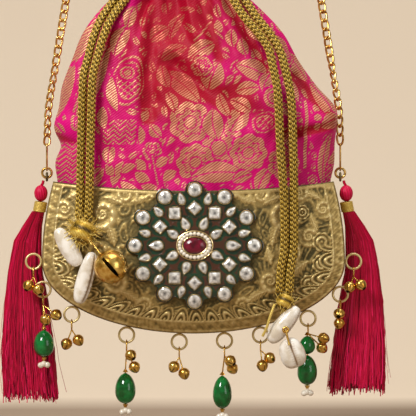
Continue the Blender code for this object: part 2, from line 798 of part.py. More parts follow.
def stone_outline(kind, width, length):
    """The corners of a stone's setting, its tip pointing along +X."""
    if kind == "round":
        turns = [2 * math.pi * (k + 0.5) / 7 for k in range(7)]
        return [(width / 2 * math.cos(t), width / 2 * math.sin(t)) for t in turns]
    if kind == "drop":
        back = [math.radians(a) for a in (70, 140, 220, 290)]
        shoulder = length - width
        points = [(width / 2 * math.cos(t) - shoulder / 2, width / 2 * math.sin(t)) for t in back]
        return [(length / 2, 0), *points]
    half = width / 2
    if kind == "square":
        return [(half, half), (-half, half), (-half, -half), (half, -half)]
    return [(length / 2, 0), (0, half), (-length / 2, 0), (0, -half)]


def brooch_stones():
    """Kind, ring radius, angle, width and length of every stone round the ruby."""
    size = BROOCH_RADIUS
    ring = {name: share * size for name, share in STONE_RINGS.items()}
    drop = [share * size for share in DROP_STONE]
    stones = [("drop", ring["inner"], angle, *drop) for angle in INNER_ANGLES]
    for step in range(12):
        angle = 30 * step
        if angle % 180 == 0:
            kind, shares = "drop", WIDE_DROP_STONE
        elif angle % 60 == 0:
            kind, shares = "square", (SQUARE_STONE, SQUARE_STONE)
        else:
            kind, shares = "diamond", DIAMOND_STONE
        stones.append((kind, ring["middle"], angle, shares[0] * size, shares[1] * size))
        stones.append(("drop", ring["outer"], angle + 15, *drop))
        stones.append(("round", ring["edge"], angle, ROUND_STONE * size, ROUND_STONE * size))
    return stones


def brooch(axis):
    """The brooch plate with its settings, the pearl halo and the ruby."""
    disc = bmesh.new()
    rings = []
    for level, share in ((0, 1), (BROOCH_PLATE, 1)):
        ring = []
        for k in range(24):
            turn = math.radians(15 * k)
            reach = BROOCH_RADIUS - (SCALLOP if k % 2 else 0)
            ring.append((reach * math.cos(turn), reach * math.sin(turn) * BROOCH_HEIGHT_RATIO, level))
        rings.append(ring)
    inner = []
    for level in (0, BROOCH_PLATE):
        for radius in (share * BROOCH_RADIUS for share in DISC_RINGS):
            inner.append(
                [
                    (
                        radius * math.cos(math.radians(30 * k)),
                        radius * math.sin(math.radians(30 * k)) * BROOCH_HEIGHT_RATIO,
                        level,
                    )
                    for k in range(12)
                ]
            )
    outer_verts = [[disc.verts.new(p) for p in ring] for ring in rings]
    inner_verts = [[disc.verts.new(p) for p in ring] for ring in inner]
    for k in range(24):
        j = (k + 1) % 24
        disc.faces.new((outer_verts[0][k], outer_verts[0][j], outer_verts[1][j], outer_verts[1][k]))
    for side, middle in ((0, inner_verts[:2]), (1, inner_verts[2:])):
        hub = disc.verts.new((0, 0, side * BROOCH_PLATE))
        for k in range(12):
            j = (k + 1) % 12
            edge = outer_verts[side]
            faces = [
                (edge[2 * k], edge[2 * k + 1], middle[0][k]),
                (edge[2 * k + 1], edge[(2 * k + 2) % 24], middle[0][j], middle[0][k]),
                (middle[0][k], middle[0][j], middle[1][j], middle[1][k]),
                (middle[1][k], middle[1][j], hub),
            ]
            for face in faces:
                disc.faces.new(face)
    settings = bmesh.new()
    for kind, radius, angle, width, length in brooch_stones():
        turn = math.radians(angle)
        centre = Vector((radius * math.cos(turn), radius * math.sin(turn) * BROOCH_HEIGHT_RATIO, 0))
        spin = Matrix.Rotation(turn, 4, "Z")
        outline = [Vector((x, y, 0)) for x, y in stone_outline(kind, width, length)]
        low = BROOCH_PLATE - STONE_ROOT
        high = BROOCH_PLATE + STONE_RISE
        foot = [centre + spin @ p + Z_AXIS * low for p in outline]
        table = [centre + spin @ (p * 0.74) + Z_AXIS * high for p in outline]
        loft(settings, [foot, table])
    shape = joined(disc, [settings])
    bend_to_plate(shape)
    node("brooch_plate", shape, finish("kundan", KUNDAN), axis, crease=20)

    halo = bmesh.new()
    steps = 2 * HALO_BEADS
    base = BROOCH_PLATE + GAP
    rings = []
    for k in range(steps):
        turn = 2 * math.pi * k / steps
        size = HALO_BEAD / 2 * (1 if k % 2 else 0.7)
        across, up = HALO_HALF
        centre = Vector((across * math.cos(turn), up * math.sin(turn), base))
        out = Vector((math.cos(turn), math.sin(turn), 0))
        rings.append([centre + out * size, centre + Z_AXIS * 2 * size, centre - out * size])
    loft(halo, rings, closed=True)
    bend_to_plate(halo)
    node("brooch_pearl_halo", halo, finish("pearl", PEARL_WHITE), axis)

    ruby = bmesh.new()
    levels = []
    for share, rise in ((0.92, 0), (1, 0.3), (0.85, 0.75), (0.5, 1)):
        levels.append(
            [
                (
                    RUBY_HALF[0] * share * math.cos(2 * math.pi * k / 12),
                    RUBY_HALF[1] * share * math.sin(2 * math.pi * k / 12),
                    base + RUBY_RISE * rise,
                )
                for k in range(12)
            ]
        )
    loft(ruby, levels)
    bend_to_plate(ruby)
    node("brooch_ruby", ruby, finish("ruby", RUBY), axis, crease=15)


def handle_route():
    """The handle's line on the left, from the end loop's top to the middle of the top."""
    foot = lug_axis_height() + LUG_RING_OUTER * 2 - LUG_RING_WIRE
    start = foot - LUG_RING_WIRE / 2 - GAP - END_LOOP_WIRE * 1.5 + END_LOOP_LENGTH
    top_x = lug_x() - STRAND_LEAN
    arch = HANDLE_RISE - STRAIGHT_TOP
    lean = STRAND_LEAN / (STRAIGHT_TOP - LEAN_START)
    points = []
    for share in (0, 0.25, 0.5, 0.75):
        height = start + (STRAIGHT_TOP - start) * share
        points.append((-(lug_x() - max(0, height - LEAN_START) * lean), 0, height))
    for angle in range(0, 91, 15):
        turn = math.radians(angle)
        points.append((-top_x * math.cos(turn) ** 0.92, 0, STRAIGHT_TOP + arch * math.sin(turn) ** 0.96))
    return points


def chain(axis):
    """The handle: links turned by turns to either side, with a long wire loop at each end."""
    half = handle_route()
    whole = half + [(-x, y, z) for x, y, z in half[-2::-1]]
    inner_face = LINK_WIRE / 4
    _, length = smooth_route(whole, 2)
    drop = END_LOOP_WIRE / 2 + inner_face - 2 * LINK_BITE
    count = round((length - 2 * drop) / LINK_PITCH)
    pitch = (length - 2 * drop) / count
    fine, _ = smooth_route(whole, 40 * count)
    reach = [drop + pitch * (k + 0.5) for k in range(count)]
    overlap = LINK_WIRE / 2 - LINK_BITE
    half_length = (pitch + overlap) / 2
    half_width = (LINK_WIDTH - LINK_WIRE) / 2
    odd, even = bmesh.new(), bmesh.new()
    for k, along in enumerate(reach):
        spot = along / length * (len(fine) - 1)
        low = min(int(spot), len(fine) - 2)
        centre = fine[low].lerp(fine[low + 1], spot - low)
        heading = (fine[min(low + 20, len(fine) - 1)] - fine[max(low - 20, 0)]).normalized()
        side = Y_AXIS.cross(heading).normalized()
        turn = math.radians(45 if k % 2 else -45)
        across = side * math.cos(turn) + Y_AXIS * math.sin(turn)
        corner = half_length * 0.42
        path = [
            centre + heading * half_length,
            centre + heading * corner + across * half_width,
            centre - heading * corner + across * half_width,
            centre - heading * half_length,
            centre - heading * corner - across * half_width,
            centre + heading * corner - across * half_width,
        ]
        wire_loop(odd if k % 2 else even, path, across.cross(heading), LINK_WIRE / 2, 3)
    loops = bmesh.new()
    for side in (LEFT, RIGHT):
        top = Vector((side * -half[0][0], 0, half[0][2]))
        middle = top - Z_AXIS * (END_LOOP_LENGTH - END_LOOP_WIRE) / 2
        path = stadium_path(
            middle,
            Z_AXIS,
            Y_AXIS,
            (END_LOOP_LENGTH - END_LOOP_WIRE) / 2,
            (END_LOOP_WIDTH - END_LOOP_WIRE) / 2,
        )
        wire_loop(loops, path, Y_AXIS.cross(Z_AXIS), END_LOOP_WIRE / 2, 4)
        ring = bmesh.new()
        centre = Vector((side * lug_x(), 0, lug_axis_height() + LUG_RING_OUTER - LUG_RING_WIRE / 2))
        ring_wire(ring, centre, Z_AXIS, X_AXIS, LUG_RING_OUTER, LUG_RING_WIRE, 10, 4)
        name = "lug_ring_left" if side == LEFT else "lug_ring_right"
        node(name, ring, finish("gold", GOLD), axis)
    return node("handle_chain", joined(even, [odd, loops]), finish("gold", GOLD), axis)


def mm(values):
    """A vector from values in millimetres."""
    return Vector(values) * MM


def edge_ring_centre(angle):
    """Centre of a soldered ring at an angle round the base's edge."""
    point, normal = lower_edge(angle)
    return point + normal * (RING_OUTER + GAP)


def swing_place(angle):
    """Where a dangle turns: the middle of its edge ring's lower wire."""
    return edge_ring_centre(angle) - Z_AXIS * (RING_OUTER - RING_WIRE / 2)


def drop_bead(name, place, width, length, axis):
    """A smooth glass drop with a bore for its pin."""
    shape = bmesh.new()
    bore = BEAD_BORE / 2
    profile = [(bore, -length / 2)]
    for share in (-0.42, -0.12, 0.22, 0.42):
        swell = math.sqrt(1 - (share / 0.5) ** 2) * (1 - 0.25 * share)
        profile.append((width / 2 * min(1, swell), length * share))
    profile += [(bore, length / 2), (bore, -length / 2)]
    turned(shape, profile, 8)
    bmesh.ops.translate(shape, verts=shape.verts, vec=place)
    node(name, shape, finish("emerald_glass", EMERALD), axis)


def dangle(letter, angle, bells, beads, bag):
    """What hangs on one edge ring: a jump ring with two bells, and perhaps beads on a pin."""
    ring = bmesh.new()
    ring_wire(ring, edge_ring_centre(angle), Z_AXIS, X_AXIS, RING_OUTER, RING_WIRE, 9)
    node(f"edge_ring_{letter}", ring, finish("antique_brass", ANTIQUE_BRASS), bag)
    top = edge_ring_centre(angle)
    pivot = swing_place(angle)
    axis = empty(f"swing_{letter}", pivot, bag)
    jump = bmesh.new()
    reach = 3.2 * MM
    centre = pivot + Z_AXIS * (RING_WIRE / 2 + GAP + JUMP_WIRE / 2 - reach)
    ring_wire(jump, centre, Z_AXIS, Y_AXIS, reach + JUMP_WIRE / 2, JUMP_WIRE, 6)
    low = centre - Z_AXIS * reach
    others = []
    for aside, drop, forward in bells:
        place = top + mm((aside, -forward, -drop))
        ball(jump, place, BELL / 2, 7, 4)
        stem = bmesh.new()
        rod(stem, low, place + (low - place).normalized() * BELL * 0.35, STEM_WIRE / 2, 4)
        others.append(stem)
    if beads:
        aside, drop, forward, width, length = beads[0]
        crown = top + mm((aside, -forward, -drop + length / 2)) + Z_AXIS * (GAP + 1 * MM)
        last = beads[-1]
        foot = top + mm((aside, -forward, -last[1] - last[4] / 2)) - Z_AXIS * GAP
        stem = bmesh.new()
        rod(stem, low + Z_AXIS * 0.3 * MM, crown, STEM_WIRE / 2, 4)
        pin = bmesh.new()
        rod(pin, crown, foot - Z_AXIS * 1.2 * MM, PIN_WIRE / 2, 4)
        caps = bmesh.new()
        ball(caps, crown, 0.9 * MM, 5, 3)
        rod(caps, foot, foot - Z_AXIS * 1.8 * MM, BEAD_CAP / 2, 5, BEAD_CAP / 5)
        others += [stem, pin, caps]
        for index, (aside_b, drop_b, forward_b, width_b, length_b) in enumerate(beads):
            name = f"bead_{letter}" if index == len(beads) - 1 else f"bead_{letter}_upper"
            place = top + mm((aside_b, -forward_b, -drop_b))
            drop_bead(name, place, width_b * MM, length_b * MM, axis)
        pearls = bmesh.new()
        middle = foot - Z_AXIS * (1.8 * MM + GAP + PEARL / 2)
        ball(pearls, middle, PEARL / 2, 6, 3)
        extra = []
        for turn in (0.4, 2.6):
            more = bmesh.new()
            spot = middle + mm((2.3 * math.cos(turn), 0.3, -1.6 * math.sin(turn)))
            ball(more, spot, PEARL / 2, 6, 3)
            extra.append(more)
        node(f"pearls_{letter}", joined(pearls, extra), finish("pearl", PEARL_WHITE), axis)
    node(f"bells_{letter}", joined(jump, others), finish("gold", GOLD), axis)


def cord_tube(name, points, bag):
    """A drawstring tail as a curve with a round section."""
    scaled = [mm(p) for p in points]
    route, _ = smooth_route(scaled, CORD_POINTS)
    curve = bpy.data.curves.new(name, "CURVE")
    curve.dimensions = "3D"
    curve.bevel_depth = CORD / 2
    curve.bevel_resolution = 2
    curve.use_fill_caps = True
    spline = curve.splines.new("POLY")
    spline.points.add(len(route) - 1)
    for point, place in zip(spline.points, route):
        point.co = (*place, 1)
    curve.materials.append(finish("gold_thread", GOLD_THREAD))
    thing = bpy.data.objects.new(name, curve)
    bpy.context.scene.collection.objects.link(thing)
    return carry(thing, bag)


def drawstrings(bag):
    """The cord round the neck, its four tails and the knots at their ends."""
    neck = POUCH_PROFILE[NECK_LEVEL]
    middle, *halves = pouch_section(NECK_LEVEL)[:3]
    centre = Vector((middle, 0, neck[0]))
    clear = neck[4] + NECK_CORD_CLEARANCE + CORD / 2
    shape = bmesh.new()
    rings = []
    for k in range(20):
        turn = 2 * math.pi * k / 20
        out = Vector((math.cos(turn), math.sin(turn), 0))
        spot = centre + Vector(((halves[0] + clear) * out.x, (halves[1] + clear) * out.y, 0))
        rings.append(
            [
                spot + (out * math.cos(t) + Z_AXIS * math.sin(t)) * CORD / 2
                for t in (2 * math.pi * i / 6 for i in range(6))
            ]
        )
    loft(shape, rings, closed=True)
    node("neck_drawcord", shape, finish("gold_thread", GOLD_THREAD), bag)
    for name, points in DRAWCORDS.items():
        cord_tube(name, points, bag)
    for name, place, size in (
        ("cord_knot_left", LEFT_KNOT_PLACE, LEFT_KNOT),
        ("cord_knot_right", RIGHT_KNOT_PLACE, RIGHT_KNOT),
    ):
        knot = bmesh.new()
        ball(knot, Vector(place), size / 2, 10, 6)
        node(name, knot, finish("gold_thread", GOLD_THREAD), bag)


def cowrie(name, start, end, width, axis):
    """A shell: an egg with a flatter face forward and a lip along its slit."""
    shape = bmesh.new()
    low, high = mm(start), mm(end)
    along = (high - low).normalized()
    across = along.cross(Y_AXIS).normalized()
    up = across.cross(along)
    rings = []
    for share in (0.03, 0.16, 0.38, 0.62, 0.84, 0.97):
        swell = math.sqrt(max(0, 1 - (2 * share - 1) ** 2)) * (1.08 - 0.25 * share)
        half = width * MM / 2 * swell
        centre = low.lerp(high, share)
        ring = []
        for k in range(8):
            turn = 2 * math.pi * k / 8
            reach = 0.86 if up.y * math.sin(turn) < 0 else 0.8
            lift = math.sin(turn) * half * reach
            ring.append(centre + across * math.cos(turn) * half + up * lift)
        rings.append(ring)
    loft(shape, rings)
    node(name, shape, finish("shell", SHELL), axis)


def big_bell(axis):
    """The large jingle bell: a thin hollow ball with a slot, a wire to the knot and a loose pea."""
    centre = Vector(BIG_BELL_PLACE)
    radius = BIG_BELL / 2
    shell = bmesh.new()
    ball(shell, centre, radius, 12, 8)
    hollow = bmesh.new()
    ball(hollow, centre, radius - BIG_BELL_WALL, 12, 6)
    slot = bmesh.new()
    along = Vector((0.66, 0, -0.75)).normalized()
    across = along.cross(Y_AXIS)
    frame = Matrix((along, Y_AXIS, across)).transposed().to_4x4()
    size = Matrix.Diagonal((BIG_BELL_SLOT_LENGTH, radius, BIG_BELL_SLOT, 1))
    place = Matrix.Translation(centre - Y_AXIS * radius)
    bmesh.ops.create_cube(slot, size=1, matrix=place @ frame @ size)
    shape = joined(shell, [hollow, slot], "DIFFERENCE")
    knot = Vector(LEFT_KNOT_PLACE)
    toward = (centre - knot).normalized()
    wire = bmesh.new()
    start = knot + toward * (LEFT_KNOT / 2 + GAP)
    rod(wire, start, centre - toward * (radius - BIG_BELL_WALL / 2), 0.6 * MM, 6)
    node("large_bell", joined(shape, [wire]), finish("gold", GOLD), axis)
    pea = bmesh.new()
    floor = centre - Z_AXIS * (radius - BIG_BELL_WALL - PEA / 2 - 0.6 * MM)
    ball(pea, floor, PEA / 2, 8, 5)
    node("large_bell_pea", pea, finish("gold", GOLD), axis)


def pendants(bag):
    """The shells and the large bell that hang from the knots."""
    left = empty("pendant_left_axis", LEFT_KNOT_PLACE, bag)
    right = empty("pendant_right_axis", RIGHT_KNOT_PLACE, bag)
    for name, (start, end, width) in COWRIES.items():
        cowrie(name, start, end, width, left if "left" in name else right)
    big_bell(left)
    pin = bmesh.new()
    rod(pin, mm(PENDANT_PIN[0]), mm(PENDANT_PIN[1]), PENDANT_PIN_WIRE / 2, 6)
    node("pendant_pin_right", pin, finish("gold", GOLD), right)


def tassel(side, bag):
    """A silk tassel beside the base: a knotted head, a gold wrap and a skirt of strands."""
    word = "left" if side == LEFT else "right"
    pivot = Vector((side * (lug_x() + 2.2 * MM), 0, -1 * MM))
    axis = empty(f"tassel_{word}_axis", pivot, bag)
    wide, tall = TASSEL_HEAD[0] / 2, TASSEL_HEAD[1] / 2
    head_z = pivot.z - tall - TASSEL_DROP
    beside = base_half_width(head_z - tall)
    centre = Vector((side * (beside + TASSEL_CLEARANCE + wide), TASSEL_BACK, head_z))
    head = bmesh.new()
    ball(head, Vector((0, 0, 0)), 1, 8, 5)
    for vert in head.verts:
        vert.co = centre + Vector((vert.co.x * wide, vert.co.y * wide, vert.co.z * tall))
    stub = bmesh.new()
    rod(stub, centre + Z_AXIS * (tall - 1 * MM), pivot, 0.9 * MM, 6)
    node(f"tassel_{word}_head", joined(head, [stub]), finish("silk", SILK), axis)

    top = centre - Z_AXIS * (tall + GAP)
    wider = base_half_width(top.z - WRAP_HEIGHT) - beside
    lean = Vector((side * (wider + GAP), TASSEL_BACK, -WRAP_HEIGHT))
    wrap = bmesh.new()
    outer, bore = WRAP_OUTER / 2, WRAP_BORE / 2
    high = lean.length
    turned(wrap, [(bore, -high), (outer, -high * 0.85), (outer, -high * 0.15), (bore, 0), (bore, -high)], 10)
    turn = lean.to_track_quat("-Z", "Y").to_matrix().to_4x4()
    bmesh.ops.transform(wrap, verts=wrap.verts, matrix=Matrix.Translation(top) @ turn)
    node(f"tassel_{word}_wrap", wrap, finish("gold_thread", GOLD_THREAD), axis)

    skirt = bmesh.new()
    edge = BASE_WIDTH / 2
    neck = bore - GAP - 0.1 * MM
    levels = [
        (top, neck, neck),
        (top + lean, neck, neck),
    ]
    for drop, inner, outer_reach, front, back in SKIRT_PROFILE:
        spot = Vector((side * (edge + (inner + outer_reach) / 2), (front + back) / 2, -drop))
        levels.append((spot, (outer_reach - inner) / 2, (back - front) / 2))
    rings = []
    count = 2 * SKIRT_STRANDS
    for index, (spot, wide, deep) in enumerate(levels):
        ring = []
        for k in range(count):
            turn = 2 * math.pi * k / count
            reach = 0.9 if k % 2 and index > 1 else 1
            ring.append(spot + Vector((wide * reach * math.cos(turn), deep * reach * math.sin(turn), 0)))
        rings.append(ring)
    loft(skirt, rings)
    node(f"tassel_{word}_skirt", skirt, finish("silk", SILK), axis)


def main():
    for thing in list(bpy.data.objects):
        bpy.data.objects.remove(thing)
    hang = empty("lug_line", (0, 0, 0))
    bag = empty("bag_axis", (0, 0, lug_axis_height()), hang)
    plate("front_plate", -1, FRONT_STEPS, bag, True)
    plate("back_plate", 1, BACK_STEPS, bag, False)
    edge_band(bag)
    pouch(bag)
    brooch(bag)
    chain(hang)
    for letter, angle, (bells, beads) in zip("ABCDEFGHIJ", RING_ANGLES, DANGLES):
        dangle(letter, angle, bells, beads, bag)
    drawstrings(bag)
    pendants(bag)
    for side in (LEFT, RIGHT):
        tassel(side, bag)


main()
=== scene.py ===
"""Looks of a potli bag: a gathered brocade pouch on an embossed brass base.

The base carries a stone-set brooch, a curb-chain handle, silk tassels, knitted drawstrings with
shell pendants, and soldered edge rings with jingle bells and glass drop beads.

Lengths inside the classes are millimetres, measured from the lug line, which is the level of the
base's rim: +X to the right of the front view, -Y towards the front and +Z up.
"""

from __future__ import annotations

import logging
import math
from collections.abc import Callable, Iterable, Sequence
from dataclasses import dataclass
from enum import Enum

import bmesh
import bpy
import numpy as np
from mathutils import Matrix, Vector


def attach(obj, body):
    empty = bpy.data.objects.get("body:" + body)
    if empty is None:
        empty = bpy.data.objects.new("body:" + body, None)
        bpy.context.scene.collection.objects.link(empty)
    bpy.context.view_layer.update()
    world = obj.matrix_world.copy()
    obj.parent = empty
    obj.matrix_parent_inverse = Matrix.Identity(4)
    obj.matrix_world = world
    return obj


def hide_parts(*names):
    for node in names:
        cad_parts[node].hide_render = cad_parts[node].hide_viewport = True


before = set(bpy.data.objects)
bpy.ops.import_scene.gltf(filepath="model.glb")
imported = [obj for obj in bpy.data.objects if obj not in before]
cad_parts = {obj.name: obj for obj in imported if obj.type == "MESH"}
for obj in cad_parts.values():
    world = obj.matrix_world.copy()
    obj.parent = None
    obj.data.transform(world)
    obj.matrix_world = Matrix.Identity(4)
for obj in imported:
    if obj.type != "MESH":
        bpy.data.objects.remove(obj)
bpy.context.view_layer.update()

log = logging.getLogger("potli")
MM = 0.001
PER_METRE = 1000
LUG_LINE = -0.198
PHOTO_PIXELS = 416
MM_PER_PIXEL = 0.6271
BROOCH_CENTRE = (0.8, -39.7)
BROOCH_SQUASH = 0.935
LEFT_KNOT = (-68.7, -30.8, -31.0)
RIGHT_KNOT = (57.0, -30.8, -74.6)
UP = Vector((0, 0, 1))
RIGHT = Vector((1, 0, 0))
BACK = Vector((0, 1, 0))
Array = np.ndarray
Point = tuple[float, float, float]
Tree = bpy.types.NodeTree


# Helpers


def linear(colour: str) -> tuple[float, float, float, float]:
    """Turns an sRGB hex colour into linear values.

    Args:
        colour: Six hex digits with a leading #.

    Returns:
        Linear red, green, blue and an alpha of 1.
    """
    parts = [int(colour[i : i + 2], 16) / 255 for i in (1, 3, 5)]
    red, green, blue = (c / 12.92 if c <= 0.04045 else ((c + 0.055) / 1.055) ** 2.4 for c in parts)
    return red, green, blue, 1.0


def add(tree: Tree, kind: str, links: dict | None = None, **settings: object) -> bpy.types.Node:
    """Adds a node with its settings, values and links.

    Args:
        tree: The node tree.
        kind: The node's type name.
        links: Input name or index to a value or to another node's output.
        **settings: The node's own properties.

    Returns:
        The new node.
    """
    made = tree.nodes.new(kind)
    for key, value in settings.items():
        setattr(made, key, value)
    for key, value in (links or {}).items():
        if isinstance(value, bpy.types.NodeSocket):
            tree.links.new(value, made.inputs[key])
        else:
            made.inputs[key].default_value = value
    return made


def lug(point: Sequence[float]) -> Vector:
    """Turns a place in mm from the lug line into metres in the frame."""
    return Vector((point[0] * MM, point[1] * MM, point[2] * MM + LUG_LINE))


def to_frame(points: Array) -> Array:
    """Turns rows of places in mm from the lug line into metres in the frame."""
    return points * MM + np.array((0.0, 0.0, LUG_LINE))


def step(low: float, high: float, value: Array) -> Array:
    """Rises smoothly from 0 at low to 1 at high."""
    share = np.clip((value - low) / (high - low), 0, 1)
    return share * share * (3 - 2 * share)


def waves(x: Array, z: Array, pitch: float, seed: int) -> Array:
    """Smooth uneven waves, between about -1 and 1.

    Args:
        x: First coordinate in mm.
        z: Second coordinate in mm.
        pitch: The typical distance between crests in mm.
        seed: Picks the pattern.

    Returns:
        The height at each point.
    """
    picks = np.random.default_rng(seed)
    total = np.zeros_like(x)
    for turn, phase, scale in picks.uniform((0, 0, 0.7), (math.tau, math.tau, 1.4), (7, 3)):
        total += np.sin((x * math.cos(turn) + z * math.sin(turn)) * math.tau * scale / pitch + phase)
    return total / 3.2


def smooth_line(points: Sequence[Sequence[float]], count: int) -> Array:
    """Evenly spaced points on a smooth curve through the given ones.

    Args:
        points: The places that the curve passes through.
        count: How many points to return.

    Returns:
        An array of count rows.
    """
    route = np.asarray(points, float)
    ends = np.vstack([2 * route[0] - route[1], route, 2 * route[-1] - route[-2]])
    fine = []
    for a, b, c, d in zip(ends, ends[1:], ends[2:], ends[3:]):
        for t in np.arange(24) / 24:
            bend = 2 * b + (c - a) * t + (2 * a - 5 * b + 4 * c - d) * t**2
            fine.append(0.5 * (bend + (3 * b - a - 3 * c + d) * t**3))
    fine = np.array([*fine, route[-1]])
    reach = np.concatenate([[0], np.cumsum(np.linalg.norm(np.diff(fine, axis=0), axis=1))])
    even = np.linspace(0, reach[-1], count)
    return np.column_stack([np.interp(even, reach, column) for column in fine.T])


def as_mesh(name: str, shape: bmesh.types.BMesh) -> bpy.types.Mesh:
    """Turns a bmesh into a mesh and frees the bmesh."""
    mesh = bpy.data.meshes.new(name)
    shape.to_mesh(mesh)
    shape.free()
    return mesh


def woven(
    name: str,
    across: int,
    up: int,
    place: Callable[[Array, Array], tuple[Array, dict[str, Array]]],
    closed: bool = False,
) -> bpy.types.Mesh:
    """Bends a fine grid into a surface.

    Args:
        name: The mesh's name.
        across: Cells across the grid.
        up: Cells up the grid.
        place: Gives places in mm and attributes for shares across and up.
        closed: Whether the first and last columns meet.

    Returns:
        The mesh, in metres in the frame.
    """
    sheet = bmesh.new()
    bmesh.ops.create_grid(sheet, x_segments=across, y_segments=up, size=0.5)
    mesh = as_mesh(name, sheet)
    flat = np.empty(len(mesh.vertices) * 3, np.float32)
    mesh.vertices.foreach_get("co", flat)
    flat = flat.reshape(-1, 3).astype(float) + 0.5
    places, layers = place(flat[:, 0], flat[:, 1])
    mesh.vertices.foreach_set("co", to_frame(places).astype(np.float32).ravel())
    for key, values in layers.items():
        layer(mesh, key, values)
    finish = bmesh.new()
    finish.from_mesh(mesh)
    if closed:
        bmesh.ops.remove_doubles(finish, verts=finish.verts, dist=0.00001)
    bmesh.ops.recalc_face_normals(finish, faces=finish.faces)
    finish.to_mesh(mesh)
    finish.free()
    return mesh


def piece(
    name: str,
    shape: bpy.types.Mesh | bmesh.types.BMesh,
    material: bpy.types.Material,
    body: str,
    nodes: Iterable[str] = (),
    crease: float = 50,
) -> bpy.types.Object:
    """Makes a finished piece from a mesh.

    Args:
        name: The piece's name.
        shape: Its mesh, in metres in the frame.
        material: Its finish.
        body: The body that it rides on.
        nodes: The nodes that it stands for.
        crease: The angle in degrees past which an edge is sharp.

    Returns:
        The new object.
    """
    mesh = as_mesh(name, shape) if isinstance(shape, bmesh.types.BMesh) else shape
    mesh.materials.clear()
    mesh.materials.append(material)
    mesh.shade_smooth()
    mesh.set_sharp_from_angle(angle=math.radians(crease))
    made = bpy.data.objects.new(name, mesh)
    bpy.context.scene.collection.objects.link(made)
    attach(made, body)
    if nodes:
        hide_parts(*nodes)
    log.info("%s: %d faces on %s", name, len(mesh.polygons), body)
    return made


def wires(
    name: str, paths: Iterable[Sequence[Sequence[float]]], radius: float, sides: int = 8, closed: bool = False
) -> bpy.types.Mesh:
    """Round wires along paths given in mm from the lug line.

    Args:
        name: The mesh's name.
        paths: One list of places for each wire.
        radius: The wire's radius in mm.
        sides: How many sides its section has, a multiple of 4.
        closed: Whether each wire closes on itself.

    Returns:
        One mesh of all the wires, in metres in the frame.
    """
    curve = bpy.data.curves.new(name, "CURVE")
    curve.dimensions = "3D"
    curve.bevel_depth = radius * MM
    curve.bevel_resolution = sides // 2 - 2
    curve.use_fill_caps = not closed
    for path in paths:
        spline = curve.splines.new("POLY")
        spline.points.add(len(path) - 1)
        spline.use_cyclic_u = closed
        flat = np.ones((len(path), 4), np.float32)
        flat[:, :3] = to_frame(np.asarray(path, float))
        spline.points.foreach_set("co", flat.ravel())
    holder = bpy.data.objects.new(name, curve)
    mesh = bpy.data.meshes.new_from_object(holder)
    bpy.data.objects.remove(holder)
    bpy.data.curves.remove(curve)
    mesh.name = name
    return mesh


def merged(shape: bmesh.types.BMesh, mesh: bpy.types.Mesh) -> None:
    """Adds a mesh to a bmesh and removes the mesh."""
    shape.from_mesh(mesh)
    bpy.data.meshes.remove(mesh)


def skin(
    shape: bmesh.types.BMesh, rows: list[list[bmesh.types.BMVert]], closed: bool = False, split: bool = False
) -> None:
    """Joins rings of vertices, each to the next, by quads or by pairs of triangles.

    Args:
        shape: The shape that holds the vertices.
        rows: Rings with the same number of vertices.
        closed: Whether the last ring joins the first.
        split: Whether each quad is split in two.
    """
    for low, high in zip(rows, rows[1:] + rows[:1] if closed else rows[1:]):
        for k, corner in enumerate(low):
            j = (k + 1) % len(low)
            quad = (corner, low[j], high[j], high[k])
            for face in (quad[:3], (quad[0], *quad[2:])) if split else (quad,):
                shape.faces.new(face)


def circle(centre: Sequence[float], along: Vector, across: Vector, radius: float, count: int) -> list[Vector]:
    """Points round a circle in the plane of two directions."""
    turns = (math.tau * k / count for k in range(count))
    return [Vector(centre) + (along * math.cos(t) + across * math.sin(t)) * radius for t in turns]


# Finishes


@dataclass(frozen=True)
class Finish:
    """A procedural material, made once under its own name."""

    name: str

    def material(self) -> bpy.types.Material:
        """Returns the material, building it the first time."""
        found = bpy.data.materials.get(self.name)
        if found:
            return found
        made = bpy.data.materials.new(self.name)
        made.use_nodes = True
        self.build(made.node_tree, made.node_tree.nodes["Principled BSDF"])
        return made

    def build(self, tree: Tree, shader: bpy.types.Node) -> None:
        """Adds the finish's nodes to a tree that holds the shader."""
        raise NotImplementedError


